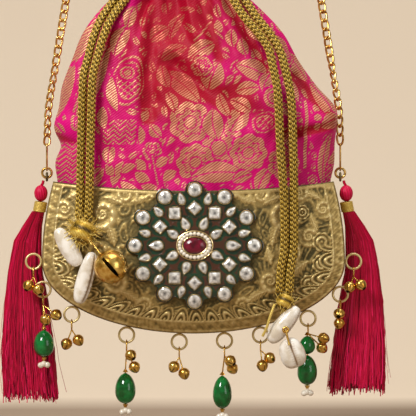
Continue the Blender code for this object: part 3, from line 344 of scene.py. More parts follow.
@dataclass(frozen=True)
class AntiqueBrass(Finish):
    """Repousse brass sheet, hammered over pitch, darkened and rubbed back on its high spots."""

    light: str = "#E8D59C"
    mid: str = "#B79C5E"
    tarnish: str = "#474022"
    grain_mm: float = 1.5

    def build(self, tree: Tree, shader: bpy.types.Node) -> None:
        """Bright rubbed relief over olive tarnish in the hollows, with hammer marks in the bump."""
        spot = add(tree, "ShaderNodeTexCoord").outputs["Object"]
        height = add(tree, "ShaderNodeAttribute", attribute_name="relief").outputs["Fac"]
        cloud = add(tree, "ShaderNodeTexNoise", {"Vector": spot, "Scale": 70, "Detail": 5}).outputs["Fac"]
        grain = add(
            tree, "ShaderNodeTexNoise", {"Vector": spot, "Scale": PER_METRE / self.grain_mm, "Detail": 3}
        ).outputs["Fac"]
        uneven = add(tree, "ShaderNodeMath", {0: cloud, 1: 0.5, 2: height}, operation="MULTIPLY_ADD").outputs[0]
        uneven = add(tree, "ShaderNodeMath", {0: grain, 1: 0.35, 2: uneven}, operation="MULTIPLY_ADD").outputs[0]
        low = add(
            tree, "ShaderNodeMapRange", {"Value": uneven, "From Min": 0.35, "From Max": 0.85}
        ).outputs["Result"]
        high = add(
            tree, "ShaderNodeMapRange", {"Value": uneven, "From Min": 0.8, "From Max": 1.5}
        ).outputs["Result"]
        dull = add(
            tree, "ShaderNodeMix", {0: low, 6: linear(self.tarnish), 7: linear(self.mid)}, data_type="RGBA"
        ).outputs[2]
        colour = add(
            tree, "ShaderNodeMix", {0: high, 6: dull, 7: linear(self.light)}, data_type="RGBA"
        ).outputs[2]
        rough = add(
            tree, "ShaderNodeMapRange", {"Value": uneven, "From Min": 0.3, "From Max": 1.3, "To Min": 0.6, "To Max": 0.36}
        ).outputs["Result"]
        bump = add(tree, "ShaderNodeBump", {"Height": grain, "Strength": 0.35, "Distance": 0.0006})
        tree.links.new(colour, shader.inputs["Base Color"])
        tree.links.new(rough, shader.inputs["Roughness"])
        tree.links.new(bump.outputs["Normal"], shader.inputs["Normal"])
        shader.inputs["Metallic"].default_value = 0.62


@dataclass(frozen=True)
class GoldPlate(Finish):
    """Gold-plated brass findings, tumbled bright, with painted shade, near black, in the bells' slots and inside the
    large bell.
    """

    light: str = "#F7D478"
    deep: str = "#C48E34"
    roughness: float = 0.24

    def build(self, tree: Tree, shader: bpy.types.Node) -> None:
        """Warm gold, uneven in tone by a few millimetres, and near black where the slot attribute is set: painted
        shade.
        """
        spot = add(tree, "ShaderNodeTexCoord").outputs["Object"]
        slot = add(tree, "ShaderNodeAttribute", attribute_name="slot").outputs["Fac"]
        cloud = add(tree, "ShaderNodeTexNoise", {"Vector": spot, "Scale": 260, "Detail": 3}).outputs["Fac"]
        tone = add(
            tree, "ShaderNodeMapRange", {"Value": cloud, "From Min": 0.35, "From Max": 0.65}
        ).outputs["Result"]
        gold = add(
            tree, "ShaderNodeMix", {0: tone, 6: linear(self.deep), 7: linear(self.light)}, data_type="RGBA"
        ).outputs[2]
        # Painted shade: near black on the bells' slots and bottoms and inside the large bell.
        colour = add(
            tree, "ShaderNodeMix", {0: slot, 6: gold, 7: linear("#1A0E04")}, data_type="RGBA"
        ).outputs[2]
        fine = add(tree, "ShaderNodeTexNoise", {"Vector": spot, "Scale": 1500, "Detail": 2}).outputs["Fac"]
        bump = add(tree, "ShaderNodeBump", {"Height": fine, "Strength": 0.08, "Distance": 0.0003})
        tree.links.new(colour, shader.inputs["Base Color"])
        tree.links.new(bump.outputs["Normal"], shader.inputs["Normal"])
        shader.inputs["Metallic"].default_value = 0.95
        shader.inputs["Roughness"].default_value = self.roughness


@dataclass(frozen=True)
class Brocade(Finish):
    """Shot art-silk brocade: magenta ground, crimson in random patches and as painted shade in the hollows, copper-gold
    zari figures.
    """

    ground: str = "#DE007E"
    warp_and_shade: str = "#A60026"
    zari: str = "#8E5630"
    zari_light: str = "#E4AC80"
    hatch_mm: float = 1.4

    def build(self, tree: Tree, shader: bpy.types.Node) -> None:
        """Figures from the zari attribute, hatched by their diagonal floats, drawn coarser to show."""
        spot = add(tree, "ShaderNodeTexCoord").outputs["Object"]
        figure = add(tree, "ShaderNodeAttribute", attribute_name="zari").outputs["Fac"]
        painted_shade = add(tree, "ShaderNodeAttribute", attribute_name="painted_shade").outputs["Fac"]
        lean = add(tree, "ShaderNodeMapping", {"Vector": spot, "Rotation": (0, 0.62, 0)}).outputs["Vector"]
        floats = add(
            tree,
            "ShaderNodeTexWave",
            {"Vector": lean, "Scale": PER_METRE / self.hatch_mm / 6.28 * 2, "Distortion": 2.2, "Detail": 2, "Detail Scale": 1.4},
            bands_direction="Z",
        ).outputs["Fac"]
        fray = add(tree, "ShaderNodeTexNoise", {"Vector": spot, "Scale": 900, "Detail": 2}).outputs["Fac"]
        edge = add(tree, "ShaderNodeMath", {0: fray, 1: 0.8, 2: figure}, operation="MULTIPLY_ADD").outputs[0]
        inside = add(tree, "ShaderNodeMapRange", {"Value": edge, "From Min": 0.4, "From Max": 0.7}).outputs["Result"]
        shown = add(
            tree, "ShaderNodeMapRange", {"Value": floats, "From Min": 0.05, "From Max": 0.5, "To Min": 0.35}
        ).outputs["Result"]
        cover = add(tree, "ShaderNodeMath", {0: inside, 1: shown}, operation="MULTIPLY").outputs[0]
        patch = add(tree, "ShaderNodeTexNoise", {"Vector": spot, "Scale": 28, "Detail": 2}).outputs["Fac"]
        # Random crimson patches, and painted shade: crimson in the creases, folds and turned-in ruffle.
        shot_and_shade = add(tree, "ShaderNodeMath", {0: patch, 1: 0.5, 2: painted_shade}, operation="MULTIPLY_ADD").outputs[0]
        shot_and_shade = add(tree, "ShaderNodeMapRange", {"Value": shot_and_shade, "From Min": 0.14, "From Max": 0.62}).outputs["Result"]
        deep = add(tree, "ShaderNodeMapRange", {"Value": painted_shade, "To Min": 1, "To Max": 0.3}).outputs["Result"]
        base = add(
            tree, "ShaderNodeMix", {0: shot_and_shade, 6: linear(self.ground), 7: linear(self.warp_and_shade)}, data_type="RGBA"
        ).outputs[2]
        metal = add(
            tree, "ShaderNodeMix", {0: floats, 6: linear(self.zari), 7: linear(self.zari_light)}, data_type="RGBA"
        ).outputs[2]
        mixed = add(tree, "ShaderNodeMix", {0: cover, 6: base, 7: metal}, data_type="RGBA").outputs[2]
        # Painted shade: the deepest hollows turn crimson even over the figures.
        colour = add(tree, "ShaderNodeMix", {0: deep, 6: linear(self.warp_and_shade), 7: mixed}, data_type="RGBA").outputs[2]
        raised = add(tree, "ShaderNodeMath", {0: cover, 1: floats}, operation="ADD").outputs[0]
        bump = add(tree, "ShaderNodeBump", {"Height": raised, "Strength": 0.3, "Distance": 0.0005})
        shine = add(
            tree, "ShaderNodeMapRange", {"Value": cover, "To Min": 0.5, "To Max": 0.36}
        ).outputs["Result"]
        metallic = add(tree, "ShaderNodeMath", {0: cover, 1: 0.35}, operation="MULTIPLY").outputs[0]
        tree.links.new(colour, shader.inputs["Base Color"])
        tree.links.new(bump.outputs["Normal"], shader.inputs["Normal"])
        tree.links.new(shine, shader.inputs["Roughness"])
        tree.links.new(metallic, shader.inputs["Metallic"])
        shader.inputs["Specular IOR Level"].default_value = 0.22
        shader.inputs["Sheen Weight"].default_value = 0.05
        shader.inputs["Sheen Roughness"].default_value = 0.4
        shader.inputs["Sheen Tint"].default_value = linear("#FF30B0")


@dataclass(frozen=True)
class PlainBackdrop(Finish):
    """Painted studio board, matt, one warm pale tone, with a painted shadow on the floor under and in front of the bag.
    """

    tone: str = "#EADAC4"

    def build(self, tree: Tree, shader: bpy.types.Node) -> None:
        """A faint mottle keeps the board from looking flat; a painted shadow darkens the floor nearer than 0.3 m behind
        the bag, fading out by 0.5 m.
        """
        spot = add(tree, "ShaderNodeTexCoord").outputs["Object"]
        cloud = add(tree, "ShaderNodeTexNoise", {"Vector": spot, "Scale": 3, "Detail": 2}).outputs["Fac"]
        lit = add(
            tree, "ShaderNodeMix", {0: cloud, 6: linear("#E6D5BF"), 7: linear(self.tone)}, data_type="RGBA"
        ).outputs[2]
        # Painted shadow: the floor is darker nearer than 0.3 to 0.5 m behind the bag.
        depth = add(tree, "ShaderNodeSeparateXYZ", {"Vector": spot}).outputs["Y"]
        near = add(tree, "ShaderNodeMapRange", {"Value": depth, "From Min": 0.3, "From Max": 0.5}).outputs["Result"]
        shade = add(
            tree, "ShaderNodeMix", {0: near, 6: linear("#A18E7B"), 7: lit}, data_type="RGBA"
        ).outputs[2]
        tree.links.new(shade, shader.inputs["Base Color"])
        shader.inputs["Roughness"].default_value = 0.95
        shader.inputs["Specular IOR Level"].default_value = 0.05
        behind = add(tree, "ShaderNodeNewGeometry").outputs["Backfacing"]
        gone = add(tree, "ShaderNodeBsdfTransparent").outputs["BSDF"]
        board = add(tree, "ShaderNodeMixShader", {0: behind, 1: shader.outputs["BSDF"], 2: gone})
        tree.links.new(board.outputs["Shader"], tree.nodes["Material Output"].inputs["Surface"])


@dataclass(frozen=True)
class SpunSilk(Finish):
    """Twisted art-silk floss, vat dyed, each strand a little lighter or darker than the next."""

    deep: str = "#52000F"
    mid: str = "#C20039"
    light: str = "#EE1E66"

    def build(self, tree: Tree, shader: bpy.types.Node) -> None:
        """Tone from the strand's own attribute, which also carries painted shade on the tassel's core and in its head's
        grooves, with long fine streaks in the bump.
        """
        tone = add(tree, "ShaderNodeAttribute", attribute_name="tone").outputs["Fac"]
        spot = add(tree, "ShaderNodeTexCoord").outputs["Object"]
        long = add(tree, "ShaderNodeMapping", {"Vector": spot, "Scale": (2200, 2200, 160)}).outputs["Vector"]
        streak = add(tree, "ShaderNodeTexNoise", {"Vector": long, "Scale": 1, "Detail": 2}).outputs["Fac"]
        share = add(tree, "ShaderNodeMath", {0: streak, 1: 0.3, 2: tone}, operation="MULTIPLY_ADD").outputs[0]
        low = add(tree, "ShaderNodeMapRange", {"Value": share, "From Min": 0.1, "From Max": 0.6}).outputs["Result"]
        high = add(tree, "ShaderNodeMapRange", {"Value": share, "From Min": 0.7, "From Max": 1.2}).outputs["Result"]
        dark = add(tree, "ShaderNodeMix", {0: low, 6: linear(self.deep), 7: linear(self.mid)}, data_type="RGBA")
        colour = add(
            tree, "ShaderNodeMix", {0: high, 6: dark.outputs[2], 7: linear(self.light)}, data_type="RGBA"
        ).outputs[2]
        bump = add(tree, "ShaderNodeBump", {"Height": streak, "Strength": 0.3, "Distance": 0.0003})
        tree.links.new(colour, shader.inputs["Base Color"])
        tree.links.new(bump.outputs["Normal"], shader.inputs["Normal"])
        shader.inputs["Roughness"].default_value = 0.42
        shader.inputs["Specular IOR Level"].default_value = 0.25
        shader.inputs["Sheen Weight"].default_value = 0.06
        shader.inputs["Sheen Tint"].default_value = linear("#FF2A70")


@dataclass(frozen=True)
class KnittedGoldThread(Finish):
    """Metallised yarn, machine knitted into a tube, with painted shade between its loops and a painted highlight on
    their crests.
    """

    dark: str = "#3A2A06"
    mid: str = "#C49C2C"
    light: str = "#F6E084"

    def build(self, tree: Tree, shader: bpy.types.Node) -> None:
        """Brightness, painted shade in the grooves and painted highlight on the crests, from the knitted mesh's
        attribute, with plied yarn in the bump.
        """
        stitch_relief_and_shade = add(tree, "ShaderNodeAttribute", attribute_name="stitch_relief_and_shade").outputs["Fac"]
        spot = add(tree, "ShaderNodeTexCoord").outputs["Object"]
        ply = add(tree, "ShaderNodeTexNoise", {"Vector": spot, "Scale": 1800, "Detail": 3}).outputs["Fac"]
        share = add(tree, "ShaderNodeMath", {0: ply, 1: 0.5, 2: stitch_relief_and_shade}, operation="MULTIPLY_ADD").outputs[0]
        low = add(tree, "ShaderNodeMapRange", {"Value": share, "From Min": 0.42, "From Max": 0.9}).outputs["Result"]
        high = add(tree, "ShaderNodeMapRange", {"Value": share, "From Min": 0.95, "From Max": 1.3}).outputs["Result"]
        base = add(tree, "ShaderNodeMix", {0: low, 6: linear(self.dark), 7: linear(self.mid)}, data_type="RGBA")
        colour = add(
            tree, "ShaderNodeMix", {0: high, 6: base.outputs[2], 7: linear(self.light)}, data_type="RGBA"
        ).outputs[2]
        bump = add(tree, "ShaderNodeBump", {"Height": ply, "Strength": 0.4, "Distance": 0.0004})
        tree.links.new(colour, shader.inputs["Base Color"])
        tree.links.new(bump.outputs["Normal"], shader.inputs["Normal"])
        shader.inputs["Metallic"].default_value = 0.45
        shader.inputs["Roughness"].default_value = 0.42


@dataclass(frozen=True)
class CloudedGloss(Finish):
    """A smooth glossy body in two tones: glass, enamel, pearl or shell."""

    light: str = "#FFFFFF"
    dark: str = "#808080"
    cloud_mm: float = 4.0
    roughness: float = 0.15
    metallic: float = 0.0
    clear: float = 0.0
    line: str = "#2A1A10"
    coat: float = 0.6

    def build(self, tree: Tree, shader: bpy.types.Node) -> None:
        """Clouds of the two tones, and the line colour where the line attribute is set."""
        spot = add(tree, "ShaderNodeTexCoord").outputs["Object"]
        cloud = add(
            tree, "ShaderNodeTexNoise", {"Vector": spot, "Scale": PER_METRE / self.cloud_mm, "Detail": 3}
        ).outputs["Fac"]
        share = add(tree, "ShaderNodeMapRange", {"Value": cloud, "From Min": 0.38, "From Max": 0.62})
        body = add(
            tree,
            "ShaderNodeMix",
            {0: share.outputs["Result"], 6: linear(self.dark), 7: linear(self.light)},
            data_type="RGBA",
        ).outputs[2]
        # The line colour is the enamel's own red-brown, and painted shade in the cowries' slits and at the middle of
        # each foiled stone.
        mark = add(tree, "ShaderNodeAttribute", attribute_name="line").outputs["Fac"]
        colour = add(tree, "ShaderNodeMix", {0: mark, 6: body, 7: linear(self.line)}, data_type="RGBA").outputs[2]
        bump = add(tree, "ShaderNodeBump", {"Height": cloud, "Strength": 0.08, "Distance": 0.0003})
        tree.links.new(colour, shader.inputs["Base Color"])
        tree.links.new(bump.outputs["Normal"], shader.inputs["Normal"])
        shader.inputs["Roughness"].default_value = self.roughness
        shader.inputs["Metallic"].default_value = self.metallic
        shader.inputs["Transmission Weight"].default_value = self.clear
        shader.inputs["Coat Weight"].default_value = self.coat
        shader.inputs["Coat Roughness"].default_value = 0.05


ANTIQUE_BRASS = AntiqueBrass("antique_brass_repousse")
GOLD_THREAD = KnittedGoldThread("knitted_gold_thread")
GOLD_LEAF = GoldPlate("gold_plated_brass")
COLLET_GOLD = GoldPlate("gold_foil_burnished", "#EFDDAE", "#B08D50", 0.25)
CHAIN_GOLD = GoldPlate("light_gold_plated_chain", "#F4D182", "#BC8638", 0.22)
STRUNG_GLASS = CloudedGloss("emerald_pressed_glass", "#0A8038", "#03521C", 6.0, 0.1, clear=0.15, coat=0.15)
PEARL = CloudedGloss("pearl_lacquered_glass", "#F6EFE0", "#E0D3BC", 3.0, 0.22)
SHELL = CloudedGloss("cowrie_shell_polished", "#F7F2E8", "#D9CDB8", 6.0, 0.25, line="#8A6A44")
KUNDAN_GLASS = CloudedGloss("uncut_glass_foiled", "#F4F2EC", "#B4B2AC", 2.2, 0.1, 0.2, line="#3A3A3E")
ENAMEL = CloudedGloss("meenakari_enamel_fired", "#0A3B26", "#052015", 5.0, 0.2, line="#4E2416")
RUBY_GLASS = CloudedGloss("ruby_glass_faceted", "#78062A", "#4C0218", 5.0, 0.2, coat=0.15)


def ball(
    shape: bmesh.types.BMesh, centre: Sequence[float], radius: Sequence[float] | float, around: int = 16, up: int = 10
) -> list[bmesh.types.BMVert]:
    """Adds a ball or an ellipsoid to a shape in mm.

    Args:
        shape: The shape to add to.
        centre: Its middle.
        radius: One radius, or one for each axis.
        around: Faces round it.
        up: Faces from pole to pole.

    Returns:
        The new vertices.
    """
    radii = (radius,) * 3 if isinstance(radius, (int, float)) else radius
    place = Matrix.Translation(Vector(centre)) @ Matrix.Diagonal((*radii, 1))
    made = bmesh.ops.create_uvsphere(shape, u_segments=around, v_segments=up, radius=1, matrix=place)
    return made["verts"]


def turned(
    shape: bmesh.types.BMesh, profile: Sequence[tuple[float, float]], centre: Sequence[float], around: int = 20
) -> None:
    """Turns a profile of (radius, height) in mm round the upright line through a centre."""
    middle = Vector(centre)
    verts = [shape.verts.new(middle + Vector((radius, 0, height))) for radius, height in profile]
    edges = [shape.edges.new(pair) for pair in zip(verts, verts[1:])]
    bmesh.ops.spin(
        shape, geom=verts + edges, cent=middle, axis=(0, 0, 1), angle=math.tau, steps=around, use_merge=True
    )
    bmesh.ops.remove_doubles(shape, verts=shape.verts, dist=0.002)


def in_metres(shape: bmesh.types.BMesh) -> bmesh.types.BMesh:
    """Moves a shape in mm from the lug line into metres in the frame."""
    bmesh.ops.recalc_face_normals(shape, faces=shape.faces)
    place = Matrix.Translation((0, 0, LUG_LINE)) @ Matrix.Diagonal((MM, MM, MM, 1))
    bmesh.ops.transform(shape, verts=shape.verts, matrix=place)
    return shape


def layer(mesh: bpy.types.Mesh, name: str, values: Array | float) -> bpy.types.Mesh:
    """Stores a value for each vertex of a mesh under a name."""
    count = len(mesh.vertices)
    rows = np.broadcast_to(np.asarray(values, np.float32), (count,)).copy()
    mesh.attributes.new(name, "FLOAT", "POINT").data.foreach_set("value", rows)
    return mesh


# The base


@dataclass
class BrassBase:
    """Two domed, embossed plates on a strip, with a wire eye at each upper corner."""

    half_width: float = 95
    rim_half: float = 88
    widest: float = 50
    drop: float = 95
    edge_half: float = 13.1
    half_depth: float = 31
    dome_power: float = 0.75
    rim_flattening: float = 0.12
    rim_dip: float = 6
    corner: float = 50
    straight: float = 0.57
    sheet: float = 0.8
    band_half: float = 12.6
    relief_mm: float = 1.25
    curl_pitch: float = 12.5
    arcade_pitch: float = 12.4
    border: float = 8.2
    lug_x: float = 92.4
    eye_height: float = 2.35
    wire: float = 1.5

    def half_at(self, z: Array) -> Array:
        """Half the width at a height from the lug line."""
        rise = np.clip((z + self.widest) / self.widest, 0, 1)
        fall = np.clip((z + self.widest) / (self.drop - self.widest), -1, 0)
        high = self.half_width - (self.half_width - self.rim_half) * rise**2
        return np.where(z >= -self.widest, high, self.half_width * np.sqrt(1 - fall**2))

    def edge_share(self, x: Array, z: Array) -> Array:
        """0 at the middle of the base and 1 on its outline."""
        fall = np.minimum(z + self.widest, 0) / (self.drop - self.widest)
        wide = np.where(z < -self.widest, self.half_width, self.half_at(z))
        return np.minimum(1, (x / wide) ** 2 + fall**2)

    def dome(self, x: Array, z: Array) -> Array:
        """Half the depth of the base, without relief."""
        rise = np.maximum(0, z + self.widest) / self.widest
        swell = (1 - self.edge_share(x, z)) ** self.dome_power * (1 - self.rim_flattening * rise**2)
        return self.edge_half + (self.half_depth - self.edge_half) * swell

    def lower_edge(self, angle: Array) -> tuple[Array, Array]:
        """The lower outline's x and z at an angle in degrees, 0 at the bottom."""
        turn = np.radians(angle)
        tall = self.drop - self.widest
        return self.half_width * np.sin(turn), -self.widest - tall * np.cos(turn)

    def side_edge(self, share: Array) -> tuple[Array, Array]:
        """The left outline's x and z, from the rim (0) to the patch corner (1)."""
        high = -self.widest * share / self.straight
        angle = 90 - (90 - self.corner) * (share - self.straight) / (1 - self.straight)
        low_x, low_z = self.lower_edge(-angle)
        straight = share <= self.straight
        return np.where(straight, -self.half_at(high), low_x), np.where(straight, high, low_z)

    def rim_height(self, x: Array) -> Array:
        """The plates' upper edge dips in the middle."""
        return -self.rim_dip * (1 - (x / self.rim_half) ** 2)

    def patch(self, across: Array, down: Array) -> tuple[Array, Array]:
        """A point inside the outline, from shares across and down a four-sided patch."""
        left_x, left_z = self.side_edge(down)
        top_x = 2 * self.rim_half * (across - 0.5)
        bottom_x, bottom_z = self.lower_edge(self.corner * (2 * across - 1))
        rim_x, rim_z = self.side_edge(np.array(0.0))
        end_x, end_z = self.side_edge(np.array(1.0))
        lean = 1 - 2 * across
        mixed_x = lean * (rim_x * (1 - down) + end_x * down)
        mixed_z = rim_z * (1 - down) + end_z * down
        x = top_x * (1 - down) + bottom_x * down + left_x * lean - mixed_x
        z = self.rim_height(top_x) * (1 - down) + bottom_z * down + left_z - mixed_z
        return x, z

    def emboss(self, x: Array, z: Array) -> Array:
        """Height of the repousse, from 0 in the ground to about 1 on the highest forms.

        Args:
            x: Places across in mm.
            z: Heights in mm.

        Returns:
            The relief at each place.
        """
        share = np.sqrt(self.edge_share(x, z))
        tall = self.drop - self.widest
        steep = np.hypot(x / self.half_width**2, np.minimum(z + self.widest, 0) / tall**2) / np.maximum(share, 0.2)
        inward = (1 - share) / np.maximum(steep, 1 / self.half_width)
        turns = np.linspace(-math.pi, math.pi, 721)
        arc = np.concatenate(
            [[0], np.cumsum(np.hypot(self.half_width * np.cos(turns[1:]), tall * np.sin(turns[1:])) * math.tau / 720)]
        )
        along = np.interp(np.arctan2(x / self.half_width, -(z + self.widest) / tall), turns, arc)
        warped_x, warped_z = x + 5 * waves(x, z, 26, 7), z + 5 * waves(x, z, 26, 9)
        curl = np.hypot(*(np.mod(place, self.curl_pitch) - self.curl_pitch / 2 for place in (warped_x, warped_z)))
        height = 0.06 + 0.1 * waves(x, z, 2.6, 5) + 0.3 * np.cos(math.tau * curl / 3.9)
        for spiral_x, spiral_z, size, hand, spin in SCROLLS:
            dx, dz = (np.abs(x) - spiral_x) * hand, z - spiral_z
            radius = np.hypot(dx, dz)
            turn = np.arctan2(dz, dx) + spin
            phase = np.log(np.maximum(radius, 0.6) / size) / 0.24 / math.tau * 1.35 - turn / math.tau
            ridge = 0.5 + 0.5 * np.cos(math.tau * phase)
            lobes = 0.8 + 0.2 * np.cos(turn * 9)
            height = np.maximum(height, (0.2 + 0.72 * ridge**1.6 * lobes) * (1 - step(size * 0.82, size * 1.1, radius)))
        for leaf_x, leaf_z, length, width, degrees in LEAVES:
            turn = math.radians(degrees)
            dx, dz = np.abs(x) - leaf_x, z - leaf_z
            run = (dx * math.cos(turn) + dz * math.sin(turn)) / (length / 2)
            off = (dz * math.cos(turn) - dx * math.sin(turn) - 0.16 * length * (1 - run**2) * 0.5) / (width / 2)
            serrated = 1 + 0.16 * np.cos(run * length * 1.3)
            inside = 1 - run**2 - np.abs(off) / serrated
            veins = 0.72 + 0.28 * np.cos((np.abs(off) * 2.2 + run * length / 4.4) * math.tau)
            rib = 0.35 * np.exp(-((off / 0.12) ** 2))
            height = np.maximum(height, step(0, 0.35, inside) * (0.62 * veins + rib))
        for rosette_x, rosette_z, size in ROSETTES:
            dx, dz = np.abs(x) - rosette_x, z - rosette_z
            radius = np.hypot(dx, dz) / size
            petals = 0.08 * np.cos(8 * np.arctan2(dz, dx))
            rings = 0.45 + 0.5 * np.cos(math.tau * radius * 2.2)
            height = np.maximum(height * step(0.95, 1.15, radius), rings * (1 - step(0.88, 1.02, radius + petals)))
        half = self.arcade_pitch / 2
        arch = np.hypot((np.mod(along, self.arcade_pitch) - half) / half, (inward - self.border) / 8.6)
        rows = (0.4 + 0.55 * np.cos(math.tau * arch * 2.1)) * (1 - step(0.92, 1.04, arch)) * step(7.6, 8.4, inward)
        low = step(0.55, 0.75, share) * (1 - step(-44, -34, z))
        height = np.where(arch < 1.06, np.maximum(rows * low, height * (1 - low)), height)
        border = 0.36 + 0.06 * np.cos(math.tau * (along + inward * 0.7) / 2.6) + 0.16 * waves(x, z, 5, 12)
        border += 0.4 * np.exp(-(((inward - 7.4) / 0.7) ** 2)) + 0.35 * np.exp(-(((inward - 1.2) / 0.6) ** 2))
        height = np.where(inward < self.border, border * step(0.1, 1.0, inward), height)
        rim = self.rim_height(np.clip(x, -self.rim_half, self.rim_half)) - z
        height = np.where(rim < 2.2, 0.5 * step(0, 0.6, rim), height)
        return np.clip(height, -0.15, 1.1)

    def plate(self, side: int, across: int, down: int) -> bpy.types.Mesh:
        """One embossed plate whose upper edge turns in.

        Args:
            side: -1 for the front, 1 for the back.
            across: Cells across.
            down: Cells down.

        Returns:
            The plate's mesh.
        """
        hem = 0.06

        def place(u: Array, v: Array) -> tuple[Array, dict[str, Array]]:
            """Bends the grid onto the dome; the top rows turn over the sheet's edge."""
            fold = np.clip((v - (1 - hem)) / hem, 0, 1)
            share = 1 - np.clip(v / (1 - hem), 0, 1)
            x, z = self.patch(u, share)
            height = self.emboss(x, z)
            if side < 0:
                height *= step(39.5, 41.5, np.hypot(x - BROOCH_CENTRE[0], (z - BROOCH_CENTRE[1]) / BROOCH_SQUASH))
            depth = self.dome(x, z) + height * self.relief_mm
            turned = np.minimum(fold * 4, 1)
            depth -= self.sheet * (1 - np.cos(turned * math.pi)) / 2 + 0.4 * (fold > 0.3)
            z = z + 0.4 * np.sin(turned * math.pi) - 7 * np.maximum(0, fold - 0.25) / 0.75
            return np.column_stack([x, side * depth, z]), {"relief": height}

        return woven("plate", across, down, place)

    def strip(self) -> bpy.types.Mesh:
        """The strip between the plates, slightly crowned."""

        def place(u: Array, v: Array) -> tuple[Array, dict[str, Array]]:
            """Runs the grid down one side, round the bottom and up the other side."""
            left_x, left_z = self.side_edge(np.clip(u / 0.3, 0, 1))
            low_x, low_z = self.lower_edge(self.corner * (2 * np.clip((u - 0.3) / 0.4, 0, 1) - 1))
            right_x, right_z = self.side_edge(np.clip((1 - u) / 0.3, 0, 1))
            x = np.where(u < 0.3, left_x, np.where(u > 0.7, -right_x, low_x))
            z = np.where(u < 0.3, left_z, np.where(u > 0.7, right_z, low_z))
            y = (2 * v - 1) * self.band_half
            crown = -0.25 * np.exp(-(((np.abs(y) - self.band_half) / 0.8) ** 2))
            out = np.column_stack([x / self.half_width, (z + self.widest) / (self.drop - self.widest)])
            out /= np.maximum(np.linalg.norm(out, axis=1, keepdims=True), 0.1)
            relief = 0.45 + 0.2 * waves(x + z, y, 14, 2)
            return np.column_stack([x + out[:, 0] * crown, y, z + out[:, 1] * crown]), {"relief": relief}

        return woven("strip", 260, 14, place)

    def build(self) -> None:
        """Makes the plates, the strip and the lug eyes."""
        brass = ANTIQUE_BRASS.material()
        piece("base_front", self.plate(-1, 300, 150), brass, "bag", ["front_plate"], 80)
        piece("base_back", self.plate(1, 230, 110), brass, "bag", ["back_plate"], 80)
        eyes = []
        for side in (-1, 1):
            centre = (side * self.lug_x, 0, self.eye_height + 1.0)
            eyes.append(circle(centre, UP, BACK, 2.3, 24))
        shape = bmesh.new()
        merged(shape, self.strip())
        merged(shape, wires("eyes", eyes, self.wire / 2, 12, closed=True))
        band = piece("base_strip", shape, brass, "bag", ["edge_band"])
        wall = band.modifiers.new("wall", "SOLIDIFY")
        wall.thickness = self.sheet * MM * 0.5
        wall.offset = -1


# Repousse ornament, the same on both halves: places and sizes in mm, turns in degrees
SCROLLS = (
    (57, -20, 11, 1, 0.4),
    (72, -34, 7, -1, 1.2),
    (59, -44, 8.5, -1, 2.2),
    (48, -62, 8, 1, 0.2),
    (30, -77, 7.5, -1, 1.0),
    (9, -86, 6, 1, 2.6),
    (81, -17, 6.5, -1, 2.0),
    (42, -8, 8, 1, 3.0),
    (24, -5, 6, -1, 0.5),
    (8, -3, 5, 1, 1.5),
    (66, -7, 7, 1, 4.0),
)
LEAVES = (
    (52, -33, 17, 8, 70),
    (66, -55, 19, 8, 40),
    (76, -25, 14, 6, 110),
    (56, -58, 15, 6, 150),
    (40, -72, 17, 7, 30),
    (20, -83, 16, 6, 10),
    (50, -12, 15, 6, 20),
    (33, -10, 14, 5.5, 160),
    (74, -9, 14, 5.5, -20),
    (48, -46, 13, 6, 100),
    (62, -32, 12, 5, 15),
)
ROSETTES = (
    (80.3, -37.5, 6.2),
    (80.0, -51.4, 6.0),
    (72.0, -63.8, 5.8),
    (62.8, -70.5, 5.2),
    (68.0, -19.0, 4.6),
)


# The pouch


class Figure(Enum):
    """The kinds of figure woven into the brocade."""

    LEAF = "leaf"
    BLOSSOM = "blossom"
    RING = "ring"
    VINE = "vine"
    PAISLEY = "paisley"
    HERRINGBONE = "herringbone"


